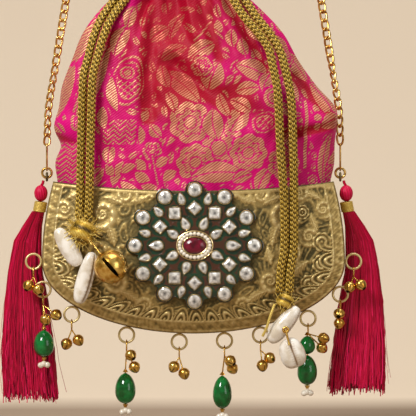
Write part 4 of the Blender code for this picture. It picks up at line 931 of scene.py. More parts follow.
# Woven figures on the front: kind, place, then length, width and turn (leaf), radius and petals
# (blossom), radius (ring), the second end and width (vine), or half width and half height
FIGURES = (
    (Figure.BLOSSOM, 8, 21, 14, 9),
    (Figure.BLOSSOM, -10, 37, 11, 7),
    (Figure.BLOSSOM, 27, 18, 10, 8),
    (Figure.BLOSSOM, -6, 12, 10, 8),
    (Figure.LEAF, 8, 3, 30, 9, 4),
    (Figure.LEAF, 21, 38, 16, 9, 50),
    (Figure.BLOSSOM, -33, 19, 5.2, 6),
    (Figure.VINE, -33, 16, -28, -6, 1.4),
    (Figure.LEAF, -39.5, 11, 8, 4.4, 130),
    (Figure.LEAF, -26.5, 12, 8, 4.4, 45),
    (Figure.LEAF, -38.5, 3.5, 9, 4.6, 150),
    (Figure.LEAF, -21.5, 3.5, 9, 4.6, 40),
    (Figure.LEAF, -34, -3, 9, 4, 175),
    (Figure.LEAF, -53, 5, 15, 4.6, 70),
    (Figure.LEAF, -47, 8, 9, 3.8, 30),
    (Figure.LEAF, -58, 8, 9, 3.8, 115),
    (Figure.LEAF, -46, -3, 12, 4.4, 150),
    (Figure.LEAF, -41, 29, 11, 6.4, 95),
    (Figure.LEAF, -31, 32, 10, 5, 130),
    (Figure.LEAF, -37, 41, 7, 4, 60),
    (Figure.RING, -44.5, 37, 2.6),
    (Figure.PAISLEY, -47, 63, 9.5, 16),
    (Figure.RING, -48, 68, 4.2),
    (Figure.LEAF, -55.5, 55, 20, 4.6, 96),
    (Figure.LEAF, -58, 17, 12, 5.4, 80),
    (Figure.HERRINGBONE, -53, 31, 10, 8),
    (Figure.HERRINGBONE, -80, 12, 12, 13),
    (Figure.BLOSSOM, -76, 37, 5.4, 5),
    (Figure.LEAF, -84, 56, 34, 9, 72),
    (Figure.LEAF, -71, 88, 34, 9, 58),
    (Figure.LEAF, -72, 52, 26, 6, 70),
    (Figure.VINE, -80, 44, -66, 82, 1.6),
    (Figure.LEAF, -15, 59, 26, 9, -42),
    (Figure.LEAF, -22, 50, 12, 5, -70),
    (Figure.LEAF, -15, 97, 18, 5, 60),
    (Figure.LEAF, -26, 92, 14, 7, 35),
    (Figure.LEAF, -18, 80, 17, 6, 28),
    (Figure.LEAF, -1, 81, 19, 8, 32),
    (Figure.VINE, -6, 88, 6, 100, 1.5),
    (Figure.LEAF, 6, 66, 17, 10, 70),
    (Figure.BLOSSOM, -2, 72, 5.5, 6),
    (Figure.LEAF, 17, 109, 14, 6.5, -60),
    (Figure.LEAF, 11, 97, 8, 4, 100),
    (Figure.VINE, 8, 94, 28, 77, 1.7),
    (Figure.VINE, 28, 77, 47, 67, 1.8),
    (Figure.LEAF, 19, 90, 11, 5, 95),
    (Figure.LEAF, 26, 84.5, 11, 5.4, 105),
    (Figure.LEAF, 34.5, 79, 9, 5, 120),
    (Figure.LEAF, 36, 97, 22, 8, 128),
    (Figure.LEAF, 31, 68, 22, 9, -25),
    (Figure.LEAF, 27, 57, 15, 6, 10),
    (Figure.LEAF, 40, 62, 13, 6, 60),
    (Figure.RING, 43, 52.5, 6.4),
    (Figure.PAISLEY, 37, 37, 8.5, 7),
    (Figure.LEAF, 51, 44, 14, 5, -40),
    (Figure.LEAF, 38, 1, 17, 6.5, 62),
    (Figure.BLOSSOM, 50, 12, 9, 7),
    (Figure.LEAF, 24, 2, 13, 5, 20),
    (Figure.RING, 71.5, 46, 2.6),
    (Figure.RING, 72, 40, 2.7),
    (Figure.RING, 72, 34.5, 2.5),
    (Figure.RING, 71.5, 16, 3.0),
    (Figure.RING, 71.5, 9.2, 3.0),
    (Figure.RING, 70.5, 1, 3.8),
    (Figure.VINE, 64.5, 50, 64.5, -8, 2.4),
    (Figure.LEAF, 81, 14, 32, 5.6, 84),
    (Figure.LEAF, 86, 12, 18, 4, 70),
    (Figure.LEAF, 77, 50, 26, 9, -58),
    (Figure.LEAF, 82, 37, 15, 7, 20),
    (Figure.LEAF, 60, 72, 22, 8, -50),
    (Figure.VINE, 50, 66, 60, 78, 1.6),
    (Figure.LEAF, 12, 48, 15, 5, 110),
    (Figure.LEAF, -62, 40, 13, 4.5, 95),
    (Figure.LEAF, 6, 36, 18, 9, 100),
    (Figure.LEAF, -62, 70, 30, 7, 74),
    (Figure.LEAF, -50, 88, 20, 7, 64),
    (Figure.LEAF, -44, 103, 14, 6, 70),
    (Figure.LEAF, 50, 84, 18, 8, -40),
    (Figure.LEAF, 22, 47, 14, 6, -30),
    (Figure.LEAF, -24, 66, 14, 6, 100),
    (Figure.LEAF, -66, 2, 15, 6, 60),
    (Figure.LEAF, 56, 27, 14, 6, 80),
    (Figure.LEAF, 58, 57, 14, 6, 100),
    (Figure.HERRINGBONE, 87, 2, 7, 9),
)

# Creases on the front: both ends (x, z), half width and depth, in mm; a ridge has a depth below 0
CREASES = (
    (-25, 118, -28, 40, 5.0, 7.5),
    (-38, 114, -38, 42, 5.5, -5.5),
    (-12, 116, -10, 66, 11, 5.0),
    (-7, 120, 0, 92, 3.2, -4.5),
    (3, 116, 16, 78, 4, 5.5),
    (12, 118, 30, 84, 4.5, -4.6),
    (-14, 84, 34, 52, 5, -3.4),
    (-16, 74, 26, 44, 5, 4.0),
    (18, 118, 46, 70, 4.0, 4.6),
    (-46, 100, -58, 74, 4.5, -2.8),
    (-50, 92, -62, 62, 4, 2.6),
    (58, 29, 90, 38, 2.8, 5.6),
    (64, 66, 85, 37, 3.4, 4.4),
    (72, 62, 90, 46, 4.5, -2.4),
    (-92, 31, -68, 22, 3.0, 4.6),
    (-90, 40, -72, 36, 4, -1.6),
    (28, 56, 56, 32, 8, 2.4),
    (-8, 62, 26, 52, 9, 2.2),
    (-20, 50, -8, 12, 9, 1.6),
    (40, 30, 62, 8, 8, -1.8),
    (-66, 56, -58, 20, 7, 1.8),
    (44, 92, 66, 66, 5, -2.2),
)


@dataclass
class Pouch:
    """The cloth tube: it fills the base, is gathered at the neck and opens into a ruffle."""

    base: BrassBase
    around: int = 336
    up: int = 228
    front_share: float = 0.68
    power: float = 2.4
    low: float = -12
    top: float = 160
    gathers: int = 14
    mouth: tuple[float, float] = (9.5, 7.5)

    # Height, left reach, right reach, half depth and fold height of each level
    profile = (
        (-12, 85.5, 85.5, 27.0, 0.0),
        (0, 85.8, 86.2, 27.5, 0.1),
        (12, 87.4, 88.4, 29.4, 0.5),
        (24, 85.4, 88.4, 31.0, 0.9),
        (35, 88.4, 89.0, 32.0, 0.9),
        (47, 85.6, 88.4, 32.0, 1.4),
        (61, 83.2, 76.0, 30.0, 1.9),
        (77, 76.4, 64.0, 27.0, 2.4),
        (94, 68.4, 53.6, 24.0, 2.8),
        (110, 55.4, 38.0, 20.5, 3.0),
        (124, 39.5, 22.5, 17.0, 2.6),
        (137, 29.0, 12.0, 14.0, 1.4),
        (147, 36.0, 18.0, 18.5, 4.0),
        (160, 43.0, 26.0, 23.0, 6.0),
    )

    def level(self, z: Array) -> list[Array]:
        """Left reach, right reach, half depth and fold height at each height."""
        table = smooth_line(self.profile, 900)
        return [np.interp(z, table[:, 0], table[:, k]) for k in range(1, 5)]

    def turns(self, share: Array) -> Array:
        """Turns round the tube, packed closer on the front, by even steps of its outline."""
        fine = np.linspace(0, math.tau, 2881)
        power = 2 / self.power
        x = np.sign(np.cos(fine)) * np.abs(np.cos(fine)) ** power * 88
        y = np.sign(np.sin(fine)) * np.abs(np.sin(fine)) ** power * 31
        weight = np.where(y[1:] + y[:-1] < 0, self.front_share, 1 - self.front_share)
        steps = np.hypot(np.diff(x), np.diff(y))
        for half in (weight > 0.5, weight <= 0.5):
            steps[half] *= weight[half] / steps[half].sum()
        reach = np.concatenate([[0], np.cumsum(steps)])
        return np.interp(share, reach / reach[-1], fine)

    def figures(self, x: Array, z: Array) -> Array:
        """How far each point lies inside a woven figure, in mm; below 0 outside."""
        inside = np.full_like(x, -3.0)
        for kind, at_x, at_z, *sizes in FIGURES:
            near = (np.abs(x - at_x) < 42) & (np.abs(z - at_z) < 42)
            px, pz = x[near] - at_x, z[near] - at_z
            radius, angle = np.hypot(px, pz), np.arctan2(pz, px)
            old = inside[near]
            if kind is Figure.LEAF:
                length, width, degrees = sizes
                length, width = length * 1.16, width * 1.5
                turn = math.radians(degrees)
                run = (px * math.cos(turn) + pz * math.sin(turn)) / (length / 2)
                off = pz * math.cos(turn) - px * math.sin(turn) - 0.09 * length * (1 - run**2)
                depth = (1 - run**2) * width / 2 - np.abs(off)
                vein = np.where(width > 7, np.abs(off) - 0.32, 3.0)
                new = np.minimum(depth, vein)
                halo = depth > -0.9
            elif kind is Figure.BLOSSOM:
                size, petals = sizes
                size *= 1.22
                rim = size * (0.86 + 0.14 * np.abs(np.cos(petals * angle / 2)))
                depth = rim - radius
                inner = rim * (0.62 + 0.06 * np.cos(petals * angle))
                lines = np.abs(radius - inner) - 0.36
                core = np.abs(radius - size * 0.3) - 0.34
                ray = np.abs(np.sin(petals * angle / 2)) * radius - 0.4
                outer_ray = np.abs(np.cos(petals * angle / 2)) * radius - 0.4
                new = np.minimum.reduce([depth, lines, core])
                new = np.minimum(new, np.where((radius > size * 0.34) & (radius < inner), ray, 3.0))
                new = np.minimum(new, np.where(radius > inner, outer_ray, 3.0))
                halo = depth > -0.9
            elif kind is Figure.RING:
                (size,) = sizes
                depth = size - radius
                new = np.minimum(depth, np.abs(radius - size * 0.58) - 0.35) if size > 2.8 else depth
                halo = depth > -1.3
            elif kind is Figure.VINE:
                end_x, end_z, width = sizes
                run = np.array((end_x - at_x, end_z - at_z))
                share = np.clip((px * run[0] + pz * run[1]) / (run @ run), 0, 1)
                new = width / 2 - np.hypot(px - share * run[0], pz - share * run[1])
                halo = new > -0.8
            elif kind is Figure.PAISLEY:
                wide, tall = sizes
                bend = px + 0.35 * wide * (pz / tall) ** 2 * np.sign(-pz)
                depth = (1 - np.hypot(bend / wide, pz / tall)) * min(wide, tall)
                new = np.minimum(depth, np.abs(depth - 1.7) - 0.55)
                new = np.minimum(new, np.where(depth > 3, 0.8 - np.abs(np.sin(px * 1.6) + np.cos(pz * 1.6)), 3.0))
                halo = depth > -1.4
            else:
                wide, tall = sizes
                depth = np.minimum(wide - np.abs(px), tall - np.abs(pz))
                zigzag = np.abs(np.mod(px, 7) - 3.5) + pz
                new = np.minimum(depth, 0.85 - np.abs(np.mod(zigzag, 2.9) - 1.45))
                halo = depth > -0.8
            inside[near] = np.where(halo, new, np.maximum(old, new))
        picks = np.random.default_rng(31)
        for row in range(19):
            for column in range(19):
                at_x = (column - 9.5 + 0.5 * (row % 2)) * 10.6 + picks.uniform(-2, 2)
                at_z = row * 9.2 - 12 + picks.uniform(-2, 2)
                turn, long = picks.uniform(0, math.pi), picks.uniform(7, 11)
                near = (np.abs(x - at_x) < 9) & (np.abs(z - at_z) < 9)
                px, pz = x[near] - at_x, z[near] - at_z
                run = (px * math.cos(turn) + pz * math.sin(turn)) / (long / 2)
                off = pz * math.cos(turn) - px * math.sin(turn) - 0.1 * long * (1 - run**2)
                leaf = np.minimum((1 - run**2) * long * 0.2 - np.abs(off), np.abs(off) - 0.25)
                old = inside[near]
                inside[near] = np.where(old < -1.2, np.maximum(old, np.minimum(leaf, -1.1 - old)), old)
        filler = 0.9 * np.sin(x / 2.1 + 2.2 * np.sin(z / 7.3)) * np.sin(z / 2.9 + 1.8 * np.sin(x / 9.1)) - 0.42
        return np.where(inside < -1.3, np.maximum(inside, filler * 1.6), inside)

    def place(self, u: Array, v: Array) -> tuple[Array, dict[str, Array]]:
        """Bends the grid into the pouch; its last rows turn in over the ruffle's edge.

        Args:
            u: Shares round the tube.
            v: Shares up the cloth.

        Returns:
            Places in mm, the zari attribute and the attribute that carries painted shade and painted light.
        """
        outer = 0.88
        rise = np.clip(v / outer, 0, 1)
        inner = np.clip((v - outer) / (1 - outer), 0, 1)
        z = self.low + (self.top - self.low) * rise - 52 * np.maximum(0, inner - 0.08)
        left, right, depth, fold = self.level(z)
        turn = self.turns(np.mod(u, 1.0))
        gather = step(30, 130, z)
        broad = 0.6 * np.cos(5 * turn + 0.8) + 0.4 * np.cos(8 * turn + 2.1)
        pleats = np.cos(self.gathers * turn + 0.3 + 0.5 * np.sin(3 * turn))
        pleats = np.sign(pleats) * np.abs(pleats) ** 0.8
        reach = fold * (broad * (1 - gather) + pleats * gather)
        reach += 0.5 * gather * np.cos(31 * turn + 1)
        c, s = np.cos(turn), np.sin(turn)
        power = 2 / self.power
        sx, sy = np.sign(c) * np.abs(c) ** power, np.sign(s) * np.abs(s) ** power
        closing = np.where(inner > 0, 0.06 + 0.94 * step(0.02, 0.55, inner), 0)
        x = (right - left) / 2 + sx * ((right + left) / 2 + reach)
        y = sy * (depth + reach)
        front = np.maximum(0, -sy)
        painted_shade = np.zeros_like(x)
        side_x = np.where(sy < 0, x, -x)
        for x1, z1, x2, z2, wide, deep in CREASES:
            run = np.array((x2 - x1, z2 - z1), float)
            share = np.clip(((side_x - x1) * run[0] + (z - z1) * run[1]) / (run @ run), 0, 1)
            away = np.hypot(side_x - x1 - share * run[0], z - z1 - share * run[1]) / wide
            bite = np.exp(-(away**2)) * (1 - 0.5 * share) * deep * 0.82
            y += np.where(sy < 0, 1, -1) * bite * np.abs(sy)
            # Painted shade along each crease's hollow.
            painted_shade += np.maximum(bite, 0) * 0.19
        puff = np.exp(-(((z - 37) / 11) ** 2)) * np.exp(-(((turn - 5.72) / 0.3) ** 2))
        x += 6.5 * puff
        y -= 2.5 * puff
        dent = np.exp(-(((z - 22) / 5) ** 2)) * np.exp(-(((turn - 3.4) / 0.4) ** 2))
        x += 2.0 * dent
        y += 0.7 * front * waves(x, z, 23, 11) + 0.3 * waves(x, z, 9, 3) * front
        middle = (right - left) / 2
        x = x * (1 - closing) + (middle + self.mouth[0] * c * (1 + 0.14 * pleats)) * closing
        y = y * (1 - closing) + self.mouth[1] * s * (1 + 0.14 * pleats) * closing
        # Painted shade in the pleat valleys, on the turned-in ruffle and in a band down the middle (fainter on the
        # back); painted light takes shade away on the left.
        painted_shade += 0.25 * gather * np.maximum(0, -pleats) + inner
        shade = np.exp(-(((x + 12 - 0.1 * (z - 80)) / 17) ** 2)) * step(34, 66, z)
        painted_shade += 0.5 * shade * np.where(sy < 0, 1, 0.4)
        painted_shade -= 0.25 * np.exp(-(((x + 72) / 12) ** 2))
        painted_shade = np.maximum(painted_shade, 0)
        flat_x = np.where(sy < 0, x + 0.25 * y, -x + 0.25 * y)
        return np.column_stack([x, y, z]), {"zari": self.figures(flat_x, z), "painted_shade": painted_shade}

    def build(self) -> None:
        """Makes the pouch."""
        mesh = woven("pouch_cloth", self.around, self.up, self.place, closed=True)
        cloth = piece(
            "pouch_cloth", mesh, Brocade("brocade_art_silk").material(), "bag", ["pouch"], 85
        )


# The brooch


@dataclass
class Brooch:
    """A scalloped enamel disc with foiled glass stones in gold collets round a ruby."""

    base: BrassBase
    squash: float = BROOCH_SQUASH
    rise: float = 1.6
    seat: float = 0.6
    centre: tuple[float, float] = BROOCH_CENTRE
    ruby: tuple[float, float] = (6.9, 4.9)
    halo: tuple[float, float] = (9.4, 7.4)
    halo_beads: int = 24

    def on_plate(self, flat: Array) -> Array:
        """Places on the domed plate, from rows of across, up and height over the plate."""
        x, z = self.centre[0] + flat[:, 0], self.centre[1] + flat[:, 1]
        depth = self.base.dome(x, np.minimum(z, 0)) + self.seat + flat[:, 2]
        return np.column_stack([x, -depth, z])

    def bent(self, shape: bmesh.types.BMesh) -> bmesh.types.BMesh:
        """Bends a flat shape in mm onto the plate and moves it into the frame."""
        flat = np.array([vert.co for vert in shape.verts])
        for vert, place in zip(shape.verts, to_frame(self.on_plate(flat))):
            vert.co = place
        bmesh.ops.recalc_face_normals(shape, faces=shape.faces)
        return shape

    def stones(self) -> list[tuple[str, float, float, float, float]]:
        """Kind, ring radius, angle, width and length of every stone."""
        found = [("drop", 16.0, angle, 6.2, 8.2) for angle in (30, 68, 112, 150, 206, 250, 290, 334)]
        for angle in range(0, 360, 30):
            if angle % 180 == 0:
                found.append(("drop", 24.3, angle, 7.2, 9.4))
            elif angle % 60 == 0:
                found.append(("square", 24.9, angle, 7.2, 7.2))
            else:
                found.append(("diamond", 24.9, angle, 9.2, 9.2))
            found.append(("drop", 32.4, angle + 15, 5.4, 7.6))
            found.append(("round", 37.2, angle, 8.4, 8.4))
        return found

    def outline(self, kind: str, width: float, length: float) -> Array:
        """The outline of a stone as rows of x and y, its tip along +X."""
        turn = math.tau * np.arange(24) / 24
        if kind == "round":
            return np.column_stack([np.cos(turn), np.sin(turn)]) * width / 2
        if kind == "drop":
            swell = np.sin(turn) * (0.5 - 0.5 * np.cos(turn)) ** 0.45
            return np.column_stack([np.cos(turn) * length / 2, swell * width / 2 * 1.08])
        power = 1.0 if kind == "diamond" else 12.0
        c, s = np.cos(turn), np.sin(turn)
        reach = (np.abs(c) ** power + np.abs(s) ** power) ** (-1 / power)
        return np.column_stack([c * reach * length / 2, s * reach * width / 2])

    def disc(self) -> bpy.types.Mesh:
        """The scalloped disc: green enamel round each stone, red-brown between, thin ridges as cell walls."""

        def place(u: Array, v: Array) -> tuple[Array, dict[str, Array]]:
            """Bends the grid into a disc: up its edge first, then in to its middle."""
            turn = u * math.tau
            near = np.abs(np.mod(turn + math.pi / 12, math.pi / 6) - math.pi / 12)
            lobe = 37.2 * np.cos(near) + np.sqrt(np.maximum(0, 34 - (37.2 * np.sin(near)) ** 2))
            edge = np.where(37.2 * np.sin(near) < 5.83, lobe, 36.4)
            inward = np.clip((v - 0.1) / 0.9, 0, 1)
            radius = edge * (1 - inward)
            petals = 17.5 + 2.6 * np.abs(np.cos(4 * turn))
            ring = np.minimum.reduce([np.abs(radius - r) for r in (12.0, 28.4, petals)])
            spokes = np.abs(np.mod(turn * 12 / math.tau, 1) - 0.5) * radius * 0.52
            spokes = np.where((radius > 20) & (radius < 28), spokes, 9)
            wall = np.maximum(1 - step(0.25, 0.6, ring), 1 - step(0.2, 0.5, spokes))
            wall = np.maximum(wall, 1 - step(0.5, 0.9, edge - radius))
            height = self.rise * np.minimum(1, v / 0.1) + 0.22 * wall * (v > 0.1) - 0.15
            flat = np.column_stack([radius * np.cos(turn), radius * np.sin(turn) * self.squash, height])
            gap = np.full_like(radius, 9.0)
            for _, ring, angle, width, length in self.stones():
                at = np.radians(angle)
                away = np.hypot(flat[:, 0] - ring * np.cos(at), flat[:, 1] - ring * np.sin(at) * self.squash)
                gap = np.minimum(gap, away - (width + length) / 4)
            bare = step(1.3, 1.7, gap) * (edge - radius > 1.2)
            return self.on_plate(flat), {"line": np.maximum(0.8 * bare, wall * (gap > 1.2))}

        return woven("disc", 288, 90, place, closed=True)

    def settings(self) -> None:
        """The collets, and the faceted stones that they hold."""
        collets, stones = bmesh.new(), bmesh.new()
        shaded = stones.verts.layers.float.new("line")
        picks = np.random.default_rng(8)
        for kind, ring, angle, width, length in self.stones():
            turn = math.radians(angle)
            own = 0.0 if kind in ("square", "diamond") else turn
            spin = np.array([[math.cos(own), math.sin(own)], [-math.sin(own), math.cos(own)]])
            middle = np.array((ring * math.cos(turn), ring * math.sin(turn) * self.squash))
            outline = self.outline(kind, width, length)
            grown = outline * (1 + 0.5 / np.linalg.norm(outline, axis=1, keepdims=True))
            snug = outline * (1 - 0.2 / np.linalg.norm(outline, axis=1, keepdims=True))
            table = picks.uniform(-0.25, 0.25, 2)
            walls = ((grown, 1.2), (grown, 2.3), ((grown + outline) / 2, 2.6), (outline, 2.3), (outline, 1.4))
            facets = ((snug, 1.6), (snug, 2.3), (snug * 0.78 + table, 2.95), (snug * 0.5 + table, 3.3))
            for shape, levels, cap in ((collets, walls, False), (stones, facets, True)):
                rows = []
                for points, height in levels:
                    places = points @ spin + middle
                    rows.append([shape.verts.new((*place, height)) for place in places])
                skin(shape, rows)
                if cap:
                    # The culet is marked for the dark line colour, so each stone's middle is painted dark: painted
                    # shade.
                    culet = shape.verts.new((*(middle + table), 3.35))
                    culet[shaded] = 1.0
                    for k in range(len(rows[-1])):
                        shape.faces.new((rows[-1][k], rows[-1][(k + 1) % len(rows[-1])], culet))
        for scale, height, wire in (((7.7, 5.7), 2.3, 0.55), ((11.2, 9.1), 2.2, 0.5)):
            rows = []
            for k in range(48):
                turn = math.tau * k / 48
                out = np.array((math.cos(turn), math.sin(turn)))
                ring = []
                for t in range(8):
                    bend = math.tau * t / 8
                    at = out * scale + out * wire * math.cos(bend)
                    ring.append(collets.verts.new((*at, height + wire * math.sin(bend))))
                rows.append(ring)
            skin(collets, rows, closed=True)
        piece("brooch_collets", self.bent(collets), COLLET_GOLD.material(), "bag", [], 35)
        piece("brooch_stones", self.bent(stones), KUNDAN_GLASS.material(), "bag", [], 8)

    def build(self) -> None:
        """Makes the disc, the stones, the pearl halo and the ruby."""
        piece("brooch_enamel", self.disc(), ENAMEL.material(), "bag", ["brooch_plate"])
        self.settings()
        halo = bmesh.new()
        for k in range(self.halo_beads):
            turn = math.tau * k / self.halo_beads
            place = (self.halo[0] * math.cos(turn), self.halo[1] * math.sin(turn), 2.7)
            ball(halo, place, 1.28, 14, 10)
        piece("brooch_halo", self.bent(halo), PEARL.material(), "bag", ["brooch_pearl_halo"])
        ruby = bmesh.new()
        rows = []
        for share, height, turn in ((0.92, 1.9, 0.0), (1.0, 2.6, 0.0), (0.82, 3.7, 0.5), (0.55, 4.4, 0.0)):
            row = []
            for k in range(16):
                bend = math.tau * (k + turn) / 16
                at = (self.ruby[0] * share * math.cos(bend), self.ruby[1] * share * math.sin(bend), height)
                row.append(ruby.verts.new(at))
            rows.append(row)
        skin(ruby, rows, split=True)
        ruby.faces.new(rows[-1])
        piece("brooch_ruby_cut", self.bent(ruby), RUBY_GLASS.material(), "bag", ["brooch_ruby"], 5)


# The handle


@dataclass
class Chain:
    """A curb chain on long wire loops, ringed to the lugs."""

    lug_x: float = 92.4
    axis_height: float = 2.8
    rise: float = 198
    straight_top: float = 114
    lean: float = 11.9
    lean_start: float = 40
    loop_length: float = 17.8
    loop_width: float = 4.4
    loop_wire: float = 1.1
    ring_outer: float = 3.8
    ring_wire: float = 1.6
    pitch: float = 5.6
    link: tuple[float, float, float] = (3.55, 1.95, 0.85)
    link_wire: float = 1.45

    def route(self) -> Array:
        """The handle's line from the left loop's top to the right one's."""
        start = self.axis_height + 1.5 * self.ring_outer + 15.6
        points = []
        for share in (0, 0.25, 0.5, 0.75):
            height = start + (self.straight_top - start) * share
            inward = max(0, height - self.lean_start) * self.lean / (self.straight_top - self.lean_start)
            points.append((inward - self.lug_x, 0, height))
        for degrees in range(0, 91, 15):
            turn = math.radians(degrees)
            reach = (self.lug_x - self.lean) * math.cos(turn) ** 0.92
            points.append((-reach, 0, self.straight_top + (self.rise - self.straight_top) * math.sin(turn) ** 0.96))
        return np.array(points + [(-x, y, z) for x, y, z in points[-2::-1]])

    def links(self) -> list[Array]:
        """The closed centreline of each link, every link twisted like its neighbours."""
        fine = smooth_line(self.route(), 4000)
        reach = np.concatenate([[0], np.cumsum(np.linalg.norm(np.diff(fine, axis=0), axis=1))])
        count = round(reach[-1] / self.pitch)
        turn = math.tau * np.arange(20) / 20
        long, wide, twist = self.link
        found = []
        for k in range(count):
            at = (k + 0.5) / count * reach[-1]
            middle = np.array([np.interp(at, reach, column) for column in fine.T])
            ahead = np.array([np.interp(at + 2, reach, column) for column in fine.T])
            heading = (ahead - middle) / np.linalg.norm(ahead - middle)
            spin = 0.35 + 0.5 * math.sin(k * 0.37) + 0.25 * math.sin(k * 0.9 + 1)
            side = np.cross((0, 1, 0), heading)
            across = side * math.cos(spin) + np.array((0, 1, 0)) * math.sin(spin)
            out = np.cross(heading, across)
            along = np.sign(np.cos(turn)) * np.abs(np.cos(turn)) ** 0.8 * long
            path = middle + np.outer(along, heading) + np.outer(np.sin(turn) * wide, across)
            found.append(path + np.outer(np.sin(2 * turn) * twist, out))
        return found

    def build(self) -> None:
        """Makes the links, the long loops and the lug rings."""
        shape = bmesh.new()
        merged(shape, wires("links", self.links(), self.link_wire / 2, 8, closed=True))
        top = self.route()[0]
        loops = []
        rings: dict[str, list] = {"left": [], "right": []}
        half, bow = (self.loop_length - self.loop_wire) / 2, (self.loop_width - self.loop_wire) / 2
        for side, word in ((-1, "left"), (1, "right")):
            path = []
            for k in range(24):
                turn = math.tau * k / 24
                rise = math.sin(turn) * bow + math.copysign(half - bow, math.sin(turn))
                path.append((-side * top[0], math.cos(turn) * bow, top[2] - half + rise))
            loops.append(path)
            centre = (side * self.lug_x, 0, self.axis_height + self.ring_outer - self.ring_wire / 2)
            ring = circle(centre, UP, RIGHT, self.ring_outer - self.ring_wire / 2, 24)
            rings[word].append(ring)
        merged(shape, wires("loops", loops, self.loop_wire / 2, 8, closed=True))
        piece("chain_links", shape, CHAIN_GOLD.material(), "handle", ["handle_chain"])
        for word, paths in rings.items():
            mesh = wires("ring", paths, self.ring_wire / 2, 12, closed=True)
            piece(f"chain_ring_{word}", mesh, CHAIN_GOLD.material(), "handle", [f"lug_ring_{word}"])


# The edge rings and what hangs from them

# Letter to the ring's angle, then each bell (aside, drop, forward) and bead (aside, drop, forward,
# width, length) from the ring's middle
HANGINGS = {
    "A": (-90, ((-3.0, 15.1, 3.5), (3.2, 17.6, 5.0)), ()),
    "B": (-71.5, ((1.7, 18.7, 3.4), (8.4, 15.8, 5.0)), ((0.6, 34.0, 2.6, 12.8, 17.0),)),
    "C": (-51, ((-3.2, 18.3, 0.8), (4.0, 16.1, -0.8)), ()),
    "D": (-25.5, ((2.6, 12.6, 3.0), (4.9, 20.0, 1.0)), ((-0.8, 33.7, 0.0, 12.9, 19.4),)),
    "E": (-5.3, ((-3.2, 15.5, 0.6), (3.0, 19.8, -0.6)), ()),
    "F": (11.5, ((3.6, 12.6, 2.8), (4.9, 17.4, -2.8)), ((-1.4, 32.5, 0.0, 11.9, 20.6),)),
    "G": (25.5, ((1.1, 19.0, 2.1), (5.7, 14.5, -2.1)), ()),
    "H": (
        47,
        ((9.5, 12.4, 2.1), (8.7, 18.4, -2.1)),
        ((-0.5, 16.8, 0.0, 10.0, 11.4), (-0.5, 32.6, 0.0, 12.5, 18.8)),
    ),
    "I": (68, ((-0.9, 12.2, 5.0), (-0.6, 18.2, -0.3)), ()),
    "J": (90, ((-2.6, 16.0, 4.6), (4.4, 14.6, 4.0)), ()),
}


